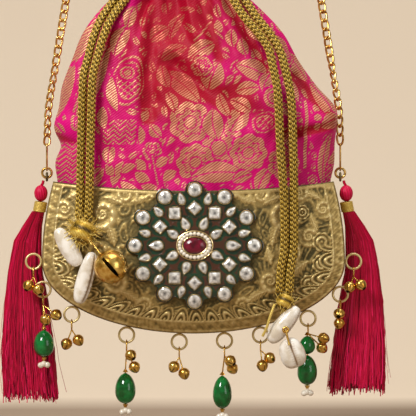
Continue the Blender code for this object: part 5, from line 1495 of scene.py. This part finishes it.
@dataclass
class Hangings:
    """Soldered rings round the lower edge, each with jingle bells and perhaps drop beads."""

    base: BrassBase
    ring_outer: float = 5.5
    ring_wire: float = 1.5
    gap: float = 0.3
    jump: float = 3.2
    jump_wire: float = 0.9
    bell: float = 7.5
    pearl: float = 3.8

    def ring_centre(self, degrees: float) -> Vector:
        """The middle of the soldered ring at an angle round the lower edge."""
        x, z = self.base.lower_edge(np.array(float(degrees)))
        tall = self.base.drop - self.base.widest
        out = Vector((float(x) / self.base.half_width**2, 0, (float(z) + self.base.widest) / tall**2))
        return Vector((float(x), 0, float(z))) + out.normalized() * (self.ring_outer + self.gap)

    def bell_shape(self, shape: bmesh.types.BMesh, place: Vector, up: Vector) -> None:
        """A stamped jingle bell: a seam round its middle and petal slots underneath, painted near black as painted
        shade.
        """
        local = bmesh.new()
        ball(local, (0, 0, 0), self.bell / 2, 28, 16)
        marks = []
        for vert in local.verts:
            turn = math.atan2(vert.co.y, vert.co.x)
            low = max(0.0, -vert.co.z / (self.bell / 2))
            cut = math.exp(-((math.sin(2 * turn) / 0.22) ** 2)) * min(1.0, low * 2.5)
            taper = 1 - 0.2 * low**1.5 - 0.12 * cut
            seam = 0.04 if abs(vert.co.z) < 0.3 else 0.0
            long = 1.12 if vert.co.z < 0 else 0.94
            wide = (taper + seam) * 0.97
            vert.co = Vector((vert.co.x * wide, vert.co.y * wide, vert.co.z * long))
            # The slots and the very bottom are marked to be painted near black: painted shade.
            marks.append(min(1.0, cut + (low > 0.9)))
        turn = up.to_track_quat("Z", "Y").to_matrix().to_4x4()
        bmesh.ops.transform(local, verts=local.verts, matrix=Matrix.Translation(place) @ turn)
        merged(shape, layer(as_mesh("bell", local), "slot", np.array(marks)))

    def beads(self, letter: str, top: Vector, rows: Sequence[Sequence[float]]) -> None:
        """The smooth glass drops on one pin."""
        for index, (aside, drop, forward, width, length) in enumerate(rows):
            name = f"bead_{letter}" if index == len(rows) - 1 else f"bead_{letter}_upper"
            profile = []
            for share in np.linspace(-0.5, 0.5, 17):
                swell = math.sqrt(max(0.0, 1 - (share / 0.5) ** 2)) * (1 - 0.25 * share)
                profile.append((max(0.75, width / 2 * min(1.0, swell)), length * share))
            shape = bmesh.new()
            turned(shape, profile, top + Vector((aside, -forward, -drop)), 28)
            glass = STRUNG_GLASS.material()
            piece(f"{name}_glass", in_metres(shape), glass, f"dangle_{letter}", [name], 80)

    def build(self) -> None:
        """Makes the rings, the bells, the beads and the pearls."""
        brass = ANTIQUE_BRASS.material()
        circles = []
        for letter, (degrees, bells, beads) in HANGINGS.items():
            top = self.ring_centre(degrees)
            radius = self.ring_outer - self.ring_wire / 2
            circles.append(circle(top, UP, RIGHT, radius, 32))
            pivot = top - Vector((0, 0, radius))
            centre = pivot + Vector((0, 0, self.ring_wire / 2 + self.gap + self.jump_wire / 2 - self.jump))
            low = centre - Vector((0, 0, self.jump))
            lines = []
            gold = bmesh.new()
            for aside, drop, forward in bells:
                place = top + Vector((aside, -forward, -drop))
                up = (low - place).normalized()
                self.bell_shape(gold, place, up)
                ring = circle(place + up * (self.bell * 0.56), up, BACK, 0.9, 10)
                lines += [[low, place + up * self.bell * 0.45], [*ring, ring[0]]]
            if beads:
                aside, drop, forward, _, length = beads[0]
                crown = top + Vector((aside, -forward, length / 2 - drop + 1.3))
                foot = crown + Vector((0, 0, drop - length / 2 - 1.6 - beads[-1][1] - beads[-1][4] / 2))
                lines += [[low, crown], [crown, foot - Vector((0, 0, 1.2))]]
                turned(gold, [(0.4, 1.2), (1.1, 0.6), (1.3, 0), (1.9, -0.6), (0.5, -0.9)], crown, 12)
                cup = [(0.4, -1.9), (0.9, -1.9), (1.0, -1.3), (1.8, 0.0), (1.7, 0.1), (0.5, -0.6)]
                turned(gold, cup, foot, 12)
                pearls = bmesh.new()
                middle = foot - Vector((0, 0, 1.8 + self.gap + self.pearl / 2))
                spots = [middle]
                for turn in (0.4, 2.6):
                    spots.append(middle + Vector((2.3 * math.cos(turn), 0.3, -1.6 * math.sin(turn))))
                for spot in spots:
                    ball(pearls, spot, self.pearl / 2, 16, 10)
                name, pearl = f"pearls_{letter}_strung", PEARL.material()
                piece(name, in_metres(pearls), pearl, f"dangle_{letter}", [f"pearls_{letter}"])
                self.beads(letter, top, beads)
            in_metres(gold)
            merged(gold, wires("stems", lines, self.jump_wire / 2, 8))
            loop = circle(centre, UP, BACK, self.jump, 24)
            merged(gold, wires("jump", [loop], self.jump_wire / 2, 8, closed=True))
            name = f"bells_{letter}"
            piece(f"{name}_stamped", gold, GOLD_LEAF.material(), f"dangle_{letter}", [name])
        mesh = layer(wires("edge_rings", circles, self.ring_wire / 2, 12, closed=True), "relief", 1.0)
        rings = [f"edge_ring_{letter}" for letter in HANGINGS]
        piece("edge_rings_soldered", mesh, brass, "bag", rings)


# The drawstrings

TAILS = {
    "drawcord_left_outer": (
        (-35.6, -9.0, 133.0),
        (-42.0, -15.5, 123.0),
        (-50.0, -19.0, 113.0),
        (-57.5, -22.0, 102.0),
        (-62.0, -24.2, 91.0),
        (-65.5, -25.5, 78.0),
        (-68.4, -27.0, 66.0),
        (-69.2, -27.5, 52.0),
        (-69.8, -27.5, 30.0),
        (-70.3, -27.0, 8.0),
        (-70.6, -27.2, -8.0),
        (-71.4, -28.6, -23.3),
    ),
    "drawcord_left_inner": (
        (-30.8, -15.0, 132.6),
        (-36.2, -19.8, 123.0),
        (-43.6, -22.2, 113.0),
        (-51.2, -25.2, 102.0),
        (-56.0, -27.2, 91.0),
        (-59.7, -28.7, 78.0),
        (-62.6, -30.0, 66.0),
        (-63.4, -30.4, 52.0),
        (-64.0, -30.4, 30.0),
        (-64.5, -30.0, 8.0),
        (-64.8, -29.8, -8.0),
        (-65.6, -30.0, -23.3),
    ),
    "drawcord_right_inner": (
        (12.4, -15.8, 132.6),
        (18.6, -19.6, 124.0),
        (24.8, -22.0, 114.0),
        (31.7, -25.0, 103.0),
        (40.4, -27.4, 93.0),
        (46.7, -29.2, 83.0),
        (49.4, -31.0, 72.0),
        (51.7, -32.0, 61.0),
        (52.9, -32.6, 48.0),
        (54.2, -32.4, 20.0),
        (56.1, -31.8, -5.0),
        (56.6, -31.0, -17.6),
        (56.6, -30.8, -41.4),
        (54.6, -30.8, -54.0),
        (53.6, -30.8, -69.2),
    ),
    "drawcord_right_outer": (
        (18.0, -9.0, 133.0),
        (25.2, -13.2, 124.0),
        (32.3, -16.6, 114.0),
        (39.5, -20.0, 103.0),
        (47.4, -22.6, 93.0),
        (53.4, -25.0, 83.0),
        (56.8, -27.0, 72.0),
        (59.3, -28.4, 61.0),
        (61.2, -29.2, 48.0),
        (62.2, -29.4, 20.0),
        (62.6, -29.2, -5.0),
        (62.6, -29.2, -17.6),
        (62.4, -29.4, -41.4),
        (60.6, -30.0, -54.0),
        (59.6, -30.6, -69.2),
    ),
}


@dataclass
class Drawstrings:
    """Knitted gold tubes: one round the neck, two tails at each side, and their knots."""

    diameter: float = 5.4
    wales: int = 7
    course: float = 3.0

    def knit(self, name: str, route: Array, closed: bool = False) -> bpy.types.Mesh:
        """A knitted tube along a route.

        Args:
            name: The mesh's name.
            route: Evenly spaced places in mm.
            closed: Whether the tube closes on itself.

        Returns:
            The mesh, with its attribute of loop height, which also sets the painted shade and highlight.
        """
        heading = np.gradient(route, axis=0)
        if closed:
            heading = np.roll(route, -1, axis=0) - np.roll(route, 1, axis=0)
        heading /= np.linalg.norm(heading, axis=1, keepdims=True)
        side = np.cross(heading, UP if closed else BACK)
        side /= np.linalg.norm(side, axis=1, keepdims=True)
        out = np.cross(side, heading)
        length = np.linalg.norm(np.diff(route, axis=0), axis=1).sum()
        rows = round(length / 0.5)

        def place(u: Array, v: Array) -> tuple[Array, dict[str, Array]]:
            """Wraps the grid round the route and raises each wale's V stitches."""
            at = v * (len(route) - 1)
            low = np.minimum(at.astype(int), len(route) - 2)
            share = (at - low)[:, None]
            centre = route[low] * (1 - share) + route[low + 1] * share
            turn = u * math.tau
            wale = np.abs(np.mod(u * self.wales, 1) - 0.5) * 2
            stagger = 0.5 * np.mod(np.floor(u * self.wales), 2) + wale * 0.55
            loop = 0.5 + 0.5 * np.cos(math.tau * (v * length / self.course + stagger))
            # The loops' height, which the finish also paints as shade in the grooves and highlight on the crests.
            stitch_relief_and_shade = loop**0.7 * (0.35 + 0.65 * np.sin(math.pi * np.mod(u * self.wales * 2, 1)) ** 0.6)
            end = np.ones_like(v) if closed else np.minimum(1, np.minimum(v, 1 - v) * length / 1.2 + 0.35)
            radius = (self.diameter / 2 - 0.45 + 0.6 * stitch_relief_and_shade) * end
            ring = np.cos(turn)[:, None] * side[low] + np.sin(turn)[:, None] * out[low]
            return centre + ring * radius[:, None], {"stitch_relief_and_shade": stitch_relief_and_shade}

        return woven(name, 42, rows, place, closed=True)

    def knot(self, name: str, centre: Point, radius: float, nodes: list[str], frayed: int) -> bpy.types.Object:
        """A knot of wound cord with frayed ends round it."""
        picks = np.random.default_rng(len(name))

        def place(u: Array, v: Array) -> tuple[Array, dict[str, Array]]:
            """Winds the grid into a ball of crossing turns."""
            turn, lift = u * math.tau, (v - 0.5) * math.pi
            first = 0.5 + 0.5 * np.sin(5 * lift + 2 * np.sin(turn + 0.6) + turn)
            second = 0.5 + 0.5 * np.sin(4 * turn + 3 * np.sin(lift * 2))
            wound = np.where(np.cos(turn + 1) > 0, first, second) ** 0.7
            ply = 0.5 + 0.5 * np.sin(26 * turn + 18 * lift)
            size = radius * (0.86 + 0.12 * wound + 0.03 * ply)
            flat = np.cos(lift) * size
            rows = np.column_stack([flat * np.cos(turn), flat * np.sin(turn), np.sin(lift) * size])
            # Lower between the crossing turns and plies, which the finish paints darker: painted shade.
            return rows + np.array(centre), {"stitch_relief_and_shade": wound * 0.7 + 0.3 * ply}

        shape = bmesh.new()
        merged(shape, woven("knot", 72, 40, place, closed=True))
        tufts = []
        for _ in range(frayed):
            way = picks.normal(0, 1, 3) * (1, 0.55, 1)
            way /= np.linalg.norm(way)
            way[1] = -abs(way[1])
            start = np.array(centre) + way * radius * 0.7
            bend = picks.normal(0, 1.4, 3)
            tip = start + way * radius * picks.uniform(0.4, 0.85) + bend
            tip[1] = max(tip[1], centre[1] - radius - 1.5)
            tufts.append(smooth_line([start, (start + tip) / 2 - bend * 0.5, tip], 6))
        if tufts:
            merged(shape, layer(wires("tufts", tufts, 0.2, 4), "stitch_relief_and_shade", 0.9))
        return piece(name, shape, GOLD_THREAD.material(), "bag", nodes)

    def build(self) -> None:
        """Makes the neck cord, the tails and the knots."""
        thread = GOLD_THREAD.material()
        left = self.knot("knot_left_frayed", LEFT_KNOT, 8.2, ["cord_knot_left"], 110)
        right = self.knot("knot_right_wound", RIGHT_KNOT, 5.6, ["cord_knot_right"], 24)
        turn = math.tau * np.arange(121) / 120
        ring = np.column_stack([-8.5 + 27.3 * np.cos(turn), 20.8 * np.sin(turn), np.full_like(turn, 137.0)])
        neck = piece("neck_cord_knit", self.knit("neck", ring, True), thread, "bag", ["neck_drawcord"])
        self.around(ring)
        for name, points in TAILS.items():
            route = smooth_line(points, 200)
            tail = piece(f"{name}_knit", self.knit(name, route), thread, "bag", [name])
            self.around(route)

    def around(self, route: Array) -> float:
        """The length of a route, in metres."""
        return float(np.linalg.norm(np.diff(route, axis=0), axis=1).sum()) * MM


# The pendants

# Each shell: tip to tip, its width, and how far it is turned to show its slit, in degrees
SHELLS = {
    "cowrie_left_outer": ((-85.1, -29.8, -28.9), (-71.1, -29.8, -52.4), 10.6, 90),
    "cowrie_left_inner": ((-62.6, -30.5, -43.5), (-71.6, -29.5, -76.0), 10.4, 318),
    "cowrie_right_upper": ((65.6, -31.5, -77.9), (47.2, -30.5, -99.9), 10.8, 342),
    "cowrie_right_lower": ((58.0, -31.5, -97.4), (65.0, -31.5, -115.6), 15.0, 275),
}


@dataclass
class Pendants:
    """Cowries, the large bell with its pea, and the pin between the right shells."""

    bell_place: Point = (-51.3, -39.8, -52.8)
    bell: float = 20.7
    wall: float = 0.9
    pea: float = 5.0

    def cowrie(self, start: Point, end: Point, width: float, spin: float) -> bpy.types.Mesh:
        """A domed shell whose flatter side has a toothed slit from end to end."""
        low, high = np.array(start), np.array(end)
        along = (high - low) / np.linalg.norm(high - low)
        across = np.cross(along, (0, 1, 0))
        across /= np.linalg.norm(across)
        up = np.cross(across, along)
        half = np.linalg.norm(high - low) / 2 - 0.3
        twist = math.radians(spin)

        def place(u: Array, v: Array) -> tuple[Array, dict[str, Array]]:
            """Bends the grid into an egg and sinks the slit into one side of it."""
            turn, lift = u * math.tau, (v - 0.5) * math.pi
            run = np.sin(lift)
            size = width / 2 * 1.06 * np.cos(lift) ** 0.66 * (1 + 0.08 * run)
            bend = np.mod(turn - twist + math.pi, math.tau) - math.pi
            reach = np.abs(bend) * size
            teeth = 0.55 + 0.45 * np.cos(math.tau * run * half / 1.5)
            slit = np.exp(-((reach / 0.75) ** 2)) * step(0.99, 0.8, np.abs(run))
            lip = np.exp(-(((reach - 1.9) / 0.9) ** 2)) * step(0.98, 0.75, np.abs(run))
            size = size * (1 - 0.1 * np.cos(bend) * (np.abs(bend) < 1.5)) - 1.3 * slit + 0.35 * lip * teeth
            flat = 0.84
            x, y = np.cos(turn) * size, np.sin(turn) * size * flat
            middle = (low + high) / 2 + np.outer(run * half, along)
            places = middle + x[:, None] * across + y[:, None] * up
            # The slit and the grooves between the teeth are marked for the dark line colour: painted shade.
            return places, {"line": np.clip(slit * 1.1 + 0.45 * lip * (1 - teeth), 0, 1)}

        return woven("shell", 64, 48, place, closed=True)

    def large_bell(self) -> bmesh.types.BMesh:
        """A pressed bell shell with a cut slot, a seam and round holes at the slot's ends; its inside is painted near
        black as painted shade.
        """
        radius = self.bell / 2
        along = np.array((0.66, 0.0, -0.75))
        across = np.cross(along, (0, 1, 0))
        facing = np.array((0.0, -1.0, 0.0))

        def place(u: Array, v: Array) -> tuple[Array, dict[str, Array]]:
            """Half the grid's rows make the outside and half the inside, split along the slot."""
            outside = v < 0.5
            share = np.where(outside, v * 2, 2 - v * 2)
            turn = u * math.tau
            half_slot, half_long = 1.2, 7.2
            c, s = np.cos(turn), np.sin(turn)
            rim_x = half_long * np.sign(c) * np.abs(c) ** 0.75
            rim_y = half_slot * np.sign(s) * np.abs(s) ** 0.55 + 0.6 * np.sign(s) * (np.abs(c) > 0.93)
            lift = share * math.pi
            ease = np.clip(share * 2, 0, 1) ** 1.3
            size = radius - np.where(outside, 0, self.wall)
            wide = np.where(share > 0.5, np.sin(lift), 1) * size
            x = rim_x * (1 - ease) + wide * c * ease
            y = rim_y * (1 - ease) + wide * s * ease
            flat = np.minimum(np.hypot(x, y), size)
            depth = np.sqrt(np.maximum(0, size**2 - flat**2)) * np.where(lift > math.pi / 2, -1, 1)
            seam = 0.35 * np.exp(-(((depth + 0.5) / 0.5) ** 2)) * outside
            grow = 1 + seam / size
            rows = x[:, None] * grow[:, None] * along + y[:, None] * grow[:, None] * across
            rows = rows + depth[:, None] * facing + np.array(self.bell_place)
            # The inside is marked to be painted near black: painted shade.
            return rows, {"slot": np.where(outside, 0.0, 0.9)}

        shape = bmesh.new()
        merged(shape, woven("large_bell", 72, 96, place, closed=True))
        return shape

    def build(self) -> None:
        """Makes the shells, the large bell and the right pin."""
        for name, (start, end, width, spin) in SHELLS.items():
            mesh = self.cowrie(start, end, width, spin)
            body = "pendant_left" if "left" in name else "pendant_right"
            piece(f"{name}_shell", mesh, SHELL.material(), body, [name], 80)
        bell = self.large_bell()
        centre, knot = Vector(self.bell_place), Vector(LEFT_KNOT)
        toward = (centre - knot).normalized()
        crown = centre - toward * (self.bell / 2)
        lines = [[knot + toward * 7.8, crown + toward * 0.4]]
        collar = circle(crown, toward.cross(BACK), BACK, 1.6, 14)
        merged(bell, wires("bell_wire", [*lines, [*collar, collar[0]]], 0.6, 8))
        piece("large_bell_pressed", bell, GOLD_LEAF.material(), "pendant_left", ["large_bell"], 60)
        pea = bmesh.new()
        floor = centre - Vector((0, 0, self.bell / 2 - self.wall - self.pea / 2 - 0.6))
        ball(pea, floor, self.pea / 2, 16, 10)
        brass = GOLD_LEAF.material()
        piece("bell_pea", in_metres(pea), brass, "pendant_left", ["large_bell_pea"])
        pin = [(57.4, -35.6, -92.0), (59.6, -38.2, -101.5)]
        eye = circle(pin[0], UP, RIGHT, 1.6, 14)
        tail = smooth_line([(50.5, -36.6, -76.0), (47.6, -36.8, -84.0), (45.4, -36.2, -91.0), (43.0, -34.8, -96.0)], 24)
        mesh = wires("pin", [pin, [*eye, eye[0]]], 0.7, 8)
        piece("pin_right_wire", mesh, brass, "pendant_right", ["pendant_pin_right"])
        thin = wires("thin_tail", [tail], 0.85, 8)
        thread = GOLD_THREAD.material()
        piece("thin_gold_tail", layer(thin, "stitch_relief_and_shade", 0.9), thread, "pendant_right", [])


# The tassels

# Skirt: drop below the lug line, inner and outer reach beside the rim, front and back, in mm
SKIRT = (
    (23, 1.0, 10.0, 1.6, 10.0),
    (37, 1.4, 18.5, 6.2, 15.5),
    (54, 1.4, 22.0, 6.4, 19.0),
    (74, -2.5, 24.5, 6.4, 21.0),
    (98, -5.5, 25.8, 6.0, 21.5),
    (120, -7.5, 25.8, 6.0, 21.5),
    (136, -9.0, 25.0, 6.0, 21.5),
)


@dataclass
class Tassel:
    """A silk tassel: a wound head, a gold binding and a skirt of loose strands."""

    side: int
    strands: int = 620
    length: float = 134
    strays: int = 26
    axis: float = 96.2
    head: tuple[float, float] = (4.3, 5.2)

    def spine(self, drop: float) -> tuple[Vector, float, float]:
        """The middle, half width and half depth of the skirt at a drop."""
        rows = np.array([(17.5, -1.1, 5.6, -1.4, 4.2), *SKIRT])
        inner, outer, front, back = (np.interp(drop, rows[:, 0], rows[:, k]) for k in range(1, 5))
        middle = Vector((self.side * (95 + (inner + outer) / 2), (front + back) / 2, -drop))
        return middle, (outer - inner) / 2, (back - front) / 2

    def strand(self, picks: np.random.Generator, fullness: float, spread: float = 0.0) -> Array:
        """One strand's path from the binding to its loose end, spread aside by some mm."""
        turn, wander = picks.uniform(0, math.tau), picks.uniform(0, math.tau)
        last = self.length + picks.normal(0, 2.6) - (picks.random() < 0.08) * picks.uniform(2, 14)
        places = []
        for drop in np.linspace(18.5, min(last, 140.0), 13):
            middle, wide, deep = self.spine(drop)
            loose = max(0.0, drop - 60) / 76
            stray = picks.normal(0, 0.12 + 0.5 * loose) + spread * loose**2
            sway = 0.5 * loose * math.sin(drop / 17 + wander)
            x = middle.x + math.cos(turn) * wide * fullness + sway + stray
            y = middle.y + math.sin(turn) * deep * fullness + 0.4 * stray
            places.append((x, y, -drop))
        return np.array(places)

    def build(self) -> None:
        """Makes the head, the binding and the skirt."""
        word = "left" if self.side < 0 else "right"
        body, silk = f"tassel_{word}", SpunSilk("art_silk_floss").material()
        picks = np.random.default_rng(20 + self.side)
        centre = np.array((self.side * self.axis, 1.3, -7.0))

        def wound(u: Array, v: Array) -> tuple[Array, dict[str, Array]]:
            """Winds the grid into a head of upright cords."""
            turn, lift = u * math.tau, (v - 0.5) * math.pi
            cords = np.abs(np.sin(7 * turn + 1.2 * lift))
            size = 0.93 + 0.07 * cords
            rows = np.column_stack(
                [
                    np.cos(turn) * np.cos(lift) * self.head[0] * size,
                    np.sin(turn) * np.cos(lift) * self.head[0] * size,
                    np.sin(lift) * self.head[1],
                ]
            )
            # The grooves between the cords take a darker tone: painted shade.
            return rows + centre, {"tone": 0.25 + 0.5 * cords}

        shape = bmesh.new()
        merged(shape, woven("head", 84, 30, wound, closed=True))
        loop = [(centre[0], 1.3, -2.6), (self.side * 94.9, 0.2, -0.6), (self.side * 94.6, 0, 1.0)]
        merged(shape, layer(wires("stub", [loop], 0.9, 8), "tone", 0.5))
        piece(f"tassel_{word}_knot", shape, silk, body, [f"tassel_{word}_head"], 80)

        coils = []
        for k in range(7):
            drop = 12.9 + 0.85 * k
            lean = k / 6
            at = (self.side * (self.axis + lean), 1.4 + lean * 0.8, -drop)
            coils.append(circle(at, Vector((1, 0, 0.12 * self.side)), Vector((0, 1, 0.08)), 3.6, 20))
        mesh = layer(wires("binding", coils, 0.55, 8, closed=True), "stitch_relief_and_shade", 0.85)
        gold = GOLD_THREAD.material()
        piece(f"tassel_{word}_binding", mesh, gold, body, [f"tassel_{word}_wrap"])

        def core(u: Array, v: Array) -> tuple[Array, dict[str, Array]]:
            """Fills the skirt behind its strands, in the darkest tone: painted shade."""
            drops = 18.5 + v * 112
            rows = []
            for share, drop in zip(u, drops):
                middle, wide, deep = self.spine(drop)
                fill = 0.86 * (1 - 0.6 * max(0.0, drop - 124) / 7)
                turn = share * math.tau
                fill *= 1 + 0.05 * math.sin(17 * turn + drop / 9)
                rows.append((middle.x + math.cos(turn) * wide * fill, middle.y + math.sin(turn) * deep * fill, -drop))
            # Painted shade: the core takes the darkest tone.
            return np.array(rows), {"tone": np.full_like(u, 0.05)}

        skirt = bmesh.new()
        merged(skirt, woven("core", 60, 50, core, closed=True))
        for k in range(self.strands):
            fullness = 1.0 - 0.18 * picks.random() ** 2
            path = self.strand(picks, fullness)
            tone = float(np.clip(picks.normal(0.5, 0.26), 0.0, 1.0))
            merged(skirt, layer(wires("strand", [path], 0.34, 4), "tone", tone))
        for _ in range(self.strays):
            path = self.strand(picks, 1.0, picks.choice((-1, 1)) * picks.uniform(2, 7))
            merged(skirt, layer(wires("stray", [path], 0.14, 4), "tone", 0.4))
        piece(f"tassel_{word}_strands", skirt, silk, body, [f"tassel_{word}_skirt"], 80)


# Stage


@dataclass
class Stage:
    """The camera, the lamps and a pale board that curves up behind the bag."""

    distance: float = 2.6
    frame_width: float = PHOTO_PIXELS * MM_PER_PIXEL
    centre: tuple[float, float] = (9.09, -16.3)
    floor: float = -158
    board_width: float = 9
    board_run: float = 6.0
    board_flat: float = 3.0
    board_front: float = 2.4
    board_bend: float = 1.2
    world: str = "#BDB4A8"
    mirrored: str = "#B4A992"
    world_strength: float = 0.66

    def lamp(self, name: str, place: Point, aim: Point, size: tuple[float, float], power: float) -> None:
        """Adds a soft rectangular lamp.

        Args:
            name: The lamp's name.
            place: Where it stands, in metres from the bag's middle.
            aim: What it points at.
            size: Its width and height in metres.
            power: Its power in watts.
        """
        data = bpy.data.lights.new(name, "AREA")
        data.shape = "RECTANGLE"
        data.size, data.size_y = size
        data.energy = power
        made = bpy.data.objects.new(name, data)
        bpy.context.scene.collection.objects.link(made)
        made.location = Vector(place)
        made.rotation_euler = (Vector(place) - Vector(aim)).to_track_quat("Z", "Y").to_euler()

    def build(self) -> None:
        """Makes the camera, the lamps, the world and the board."""
        scene = bpy.context.scene
        lens = bpy.data.cameras.new("camera")
        lens.lens = 36 * self.distance / (self.frame_width * MM)
        lens.clip_end = 20
        camera = bpy.data.objects.new("camera", lens)
        scene.collection.objects.link(camera)
        camera.location = lug((self.centre[0], -self.distance / MM - 12, self.centre[1]))
        camera.rotation_euler = (math.radians(90), 0, 0)
        scene.camera = camera
        scene.view_settings.view_transform = "Standard"

        world = bpy.data.worlds.new("studio")
        scene.world = world
        world.use_nodes = True
        tree = world.node_tree
        ray = add(tree, "ShaderNodeLightPath").outputs["Is Glossy Ray"]
        colours = {0: ray, 6: linear(self.world), 7: linear(self.mirrored)}
        glossy = add(tree, "ShaderNodeMix", colours, data_type="RGBA")
        back = tree.nodes["Background"]
        tree.links.new(glossy.outputs[2], back.inputs["Color"])
        back.inputs["Strength"].default_value = self.world_strength

        middle = (0.0, 0.0, -0.2)
        self.lamp("key", (-1.0, -1.4, 0.95), middle, (0.6, 0.6), 33)
        self.lamp("fill", (1.3, -1.4, 0.1), middle, (0.8, 1.2), 6)
        self.lamp("top", (0.2, -0.2, 1.2), middle, (1.0, 0.7), 9)
        self.lamp("wash", (0.3, 0.25, 1.0), (0.1, 1.6, -0.2), (1.6, 0.6), 3.0)

        sheet = bmesh.new()
        bmesh.ops.create_grid(sheet, x_segments=2, y_segments=60, size=0.5)
        floor = self.floor * MM + LUG_LINE
        for vert in sheet.verts:
            run = (vert.co.y + 0.5) * self.board_run
            turn = min(max(0.0, run - self.board_flat) / self.board_bend, math.pi / 2)
            rest = max(0.0, run - self.board_flat - self.board_bend * math.pi / 2)
            y = min(run, self.board_flat) - self.board_front + self.board_bend * math.sin(turn)
            rise = self.board_bend * (1 - math.cos(turn)) + rest
            vert.co = (vert.co.x * self.board_width, y, floor + rise)
        mesh = as_mesh("backdrop", sheet)
        mesh.materials.append(PlainBackdrop("backdrop_board").material())
        mesh.shade_smooth()
        board = bpy.data.objects.new("backdrop", mesh)
        scene.collection.objects.link(board)


def main() -> None:
    """Builds the bag's assemblies in order."""
    logging.basicConfig(level=logging.INFO, format="%(message)s")
    Stage().build()
    base = BrassBase()
    base.build()
    Pouch(base).build()
    Brooch(base).build()
    Chain().build()
    Hangings(base).build()
    Drawstrings().build()
    Pendants().build()
    Tassel(-1).build()
    Tassel(1, length=129).build()


if __name__ == "__main__":
    main()
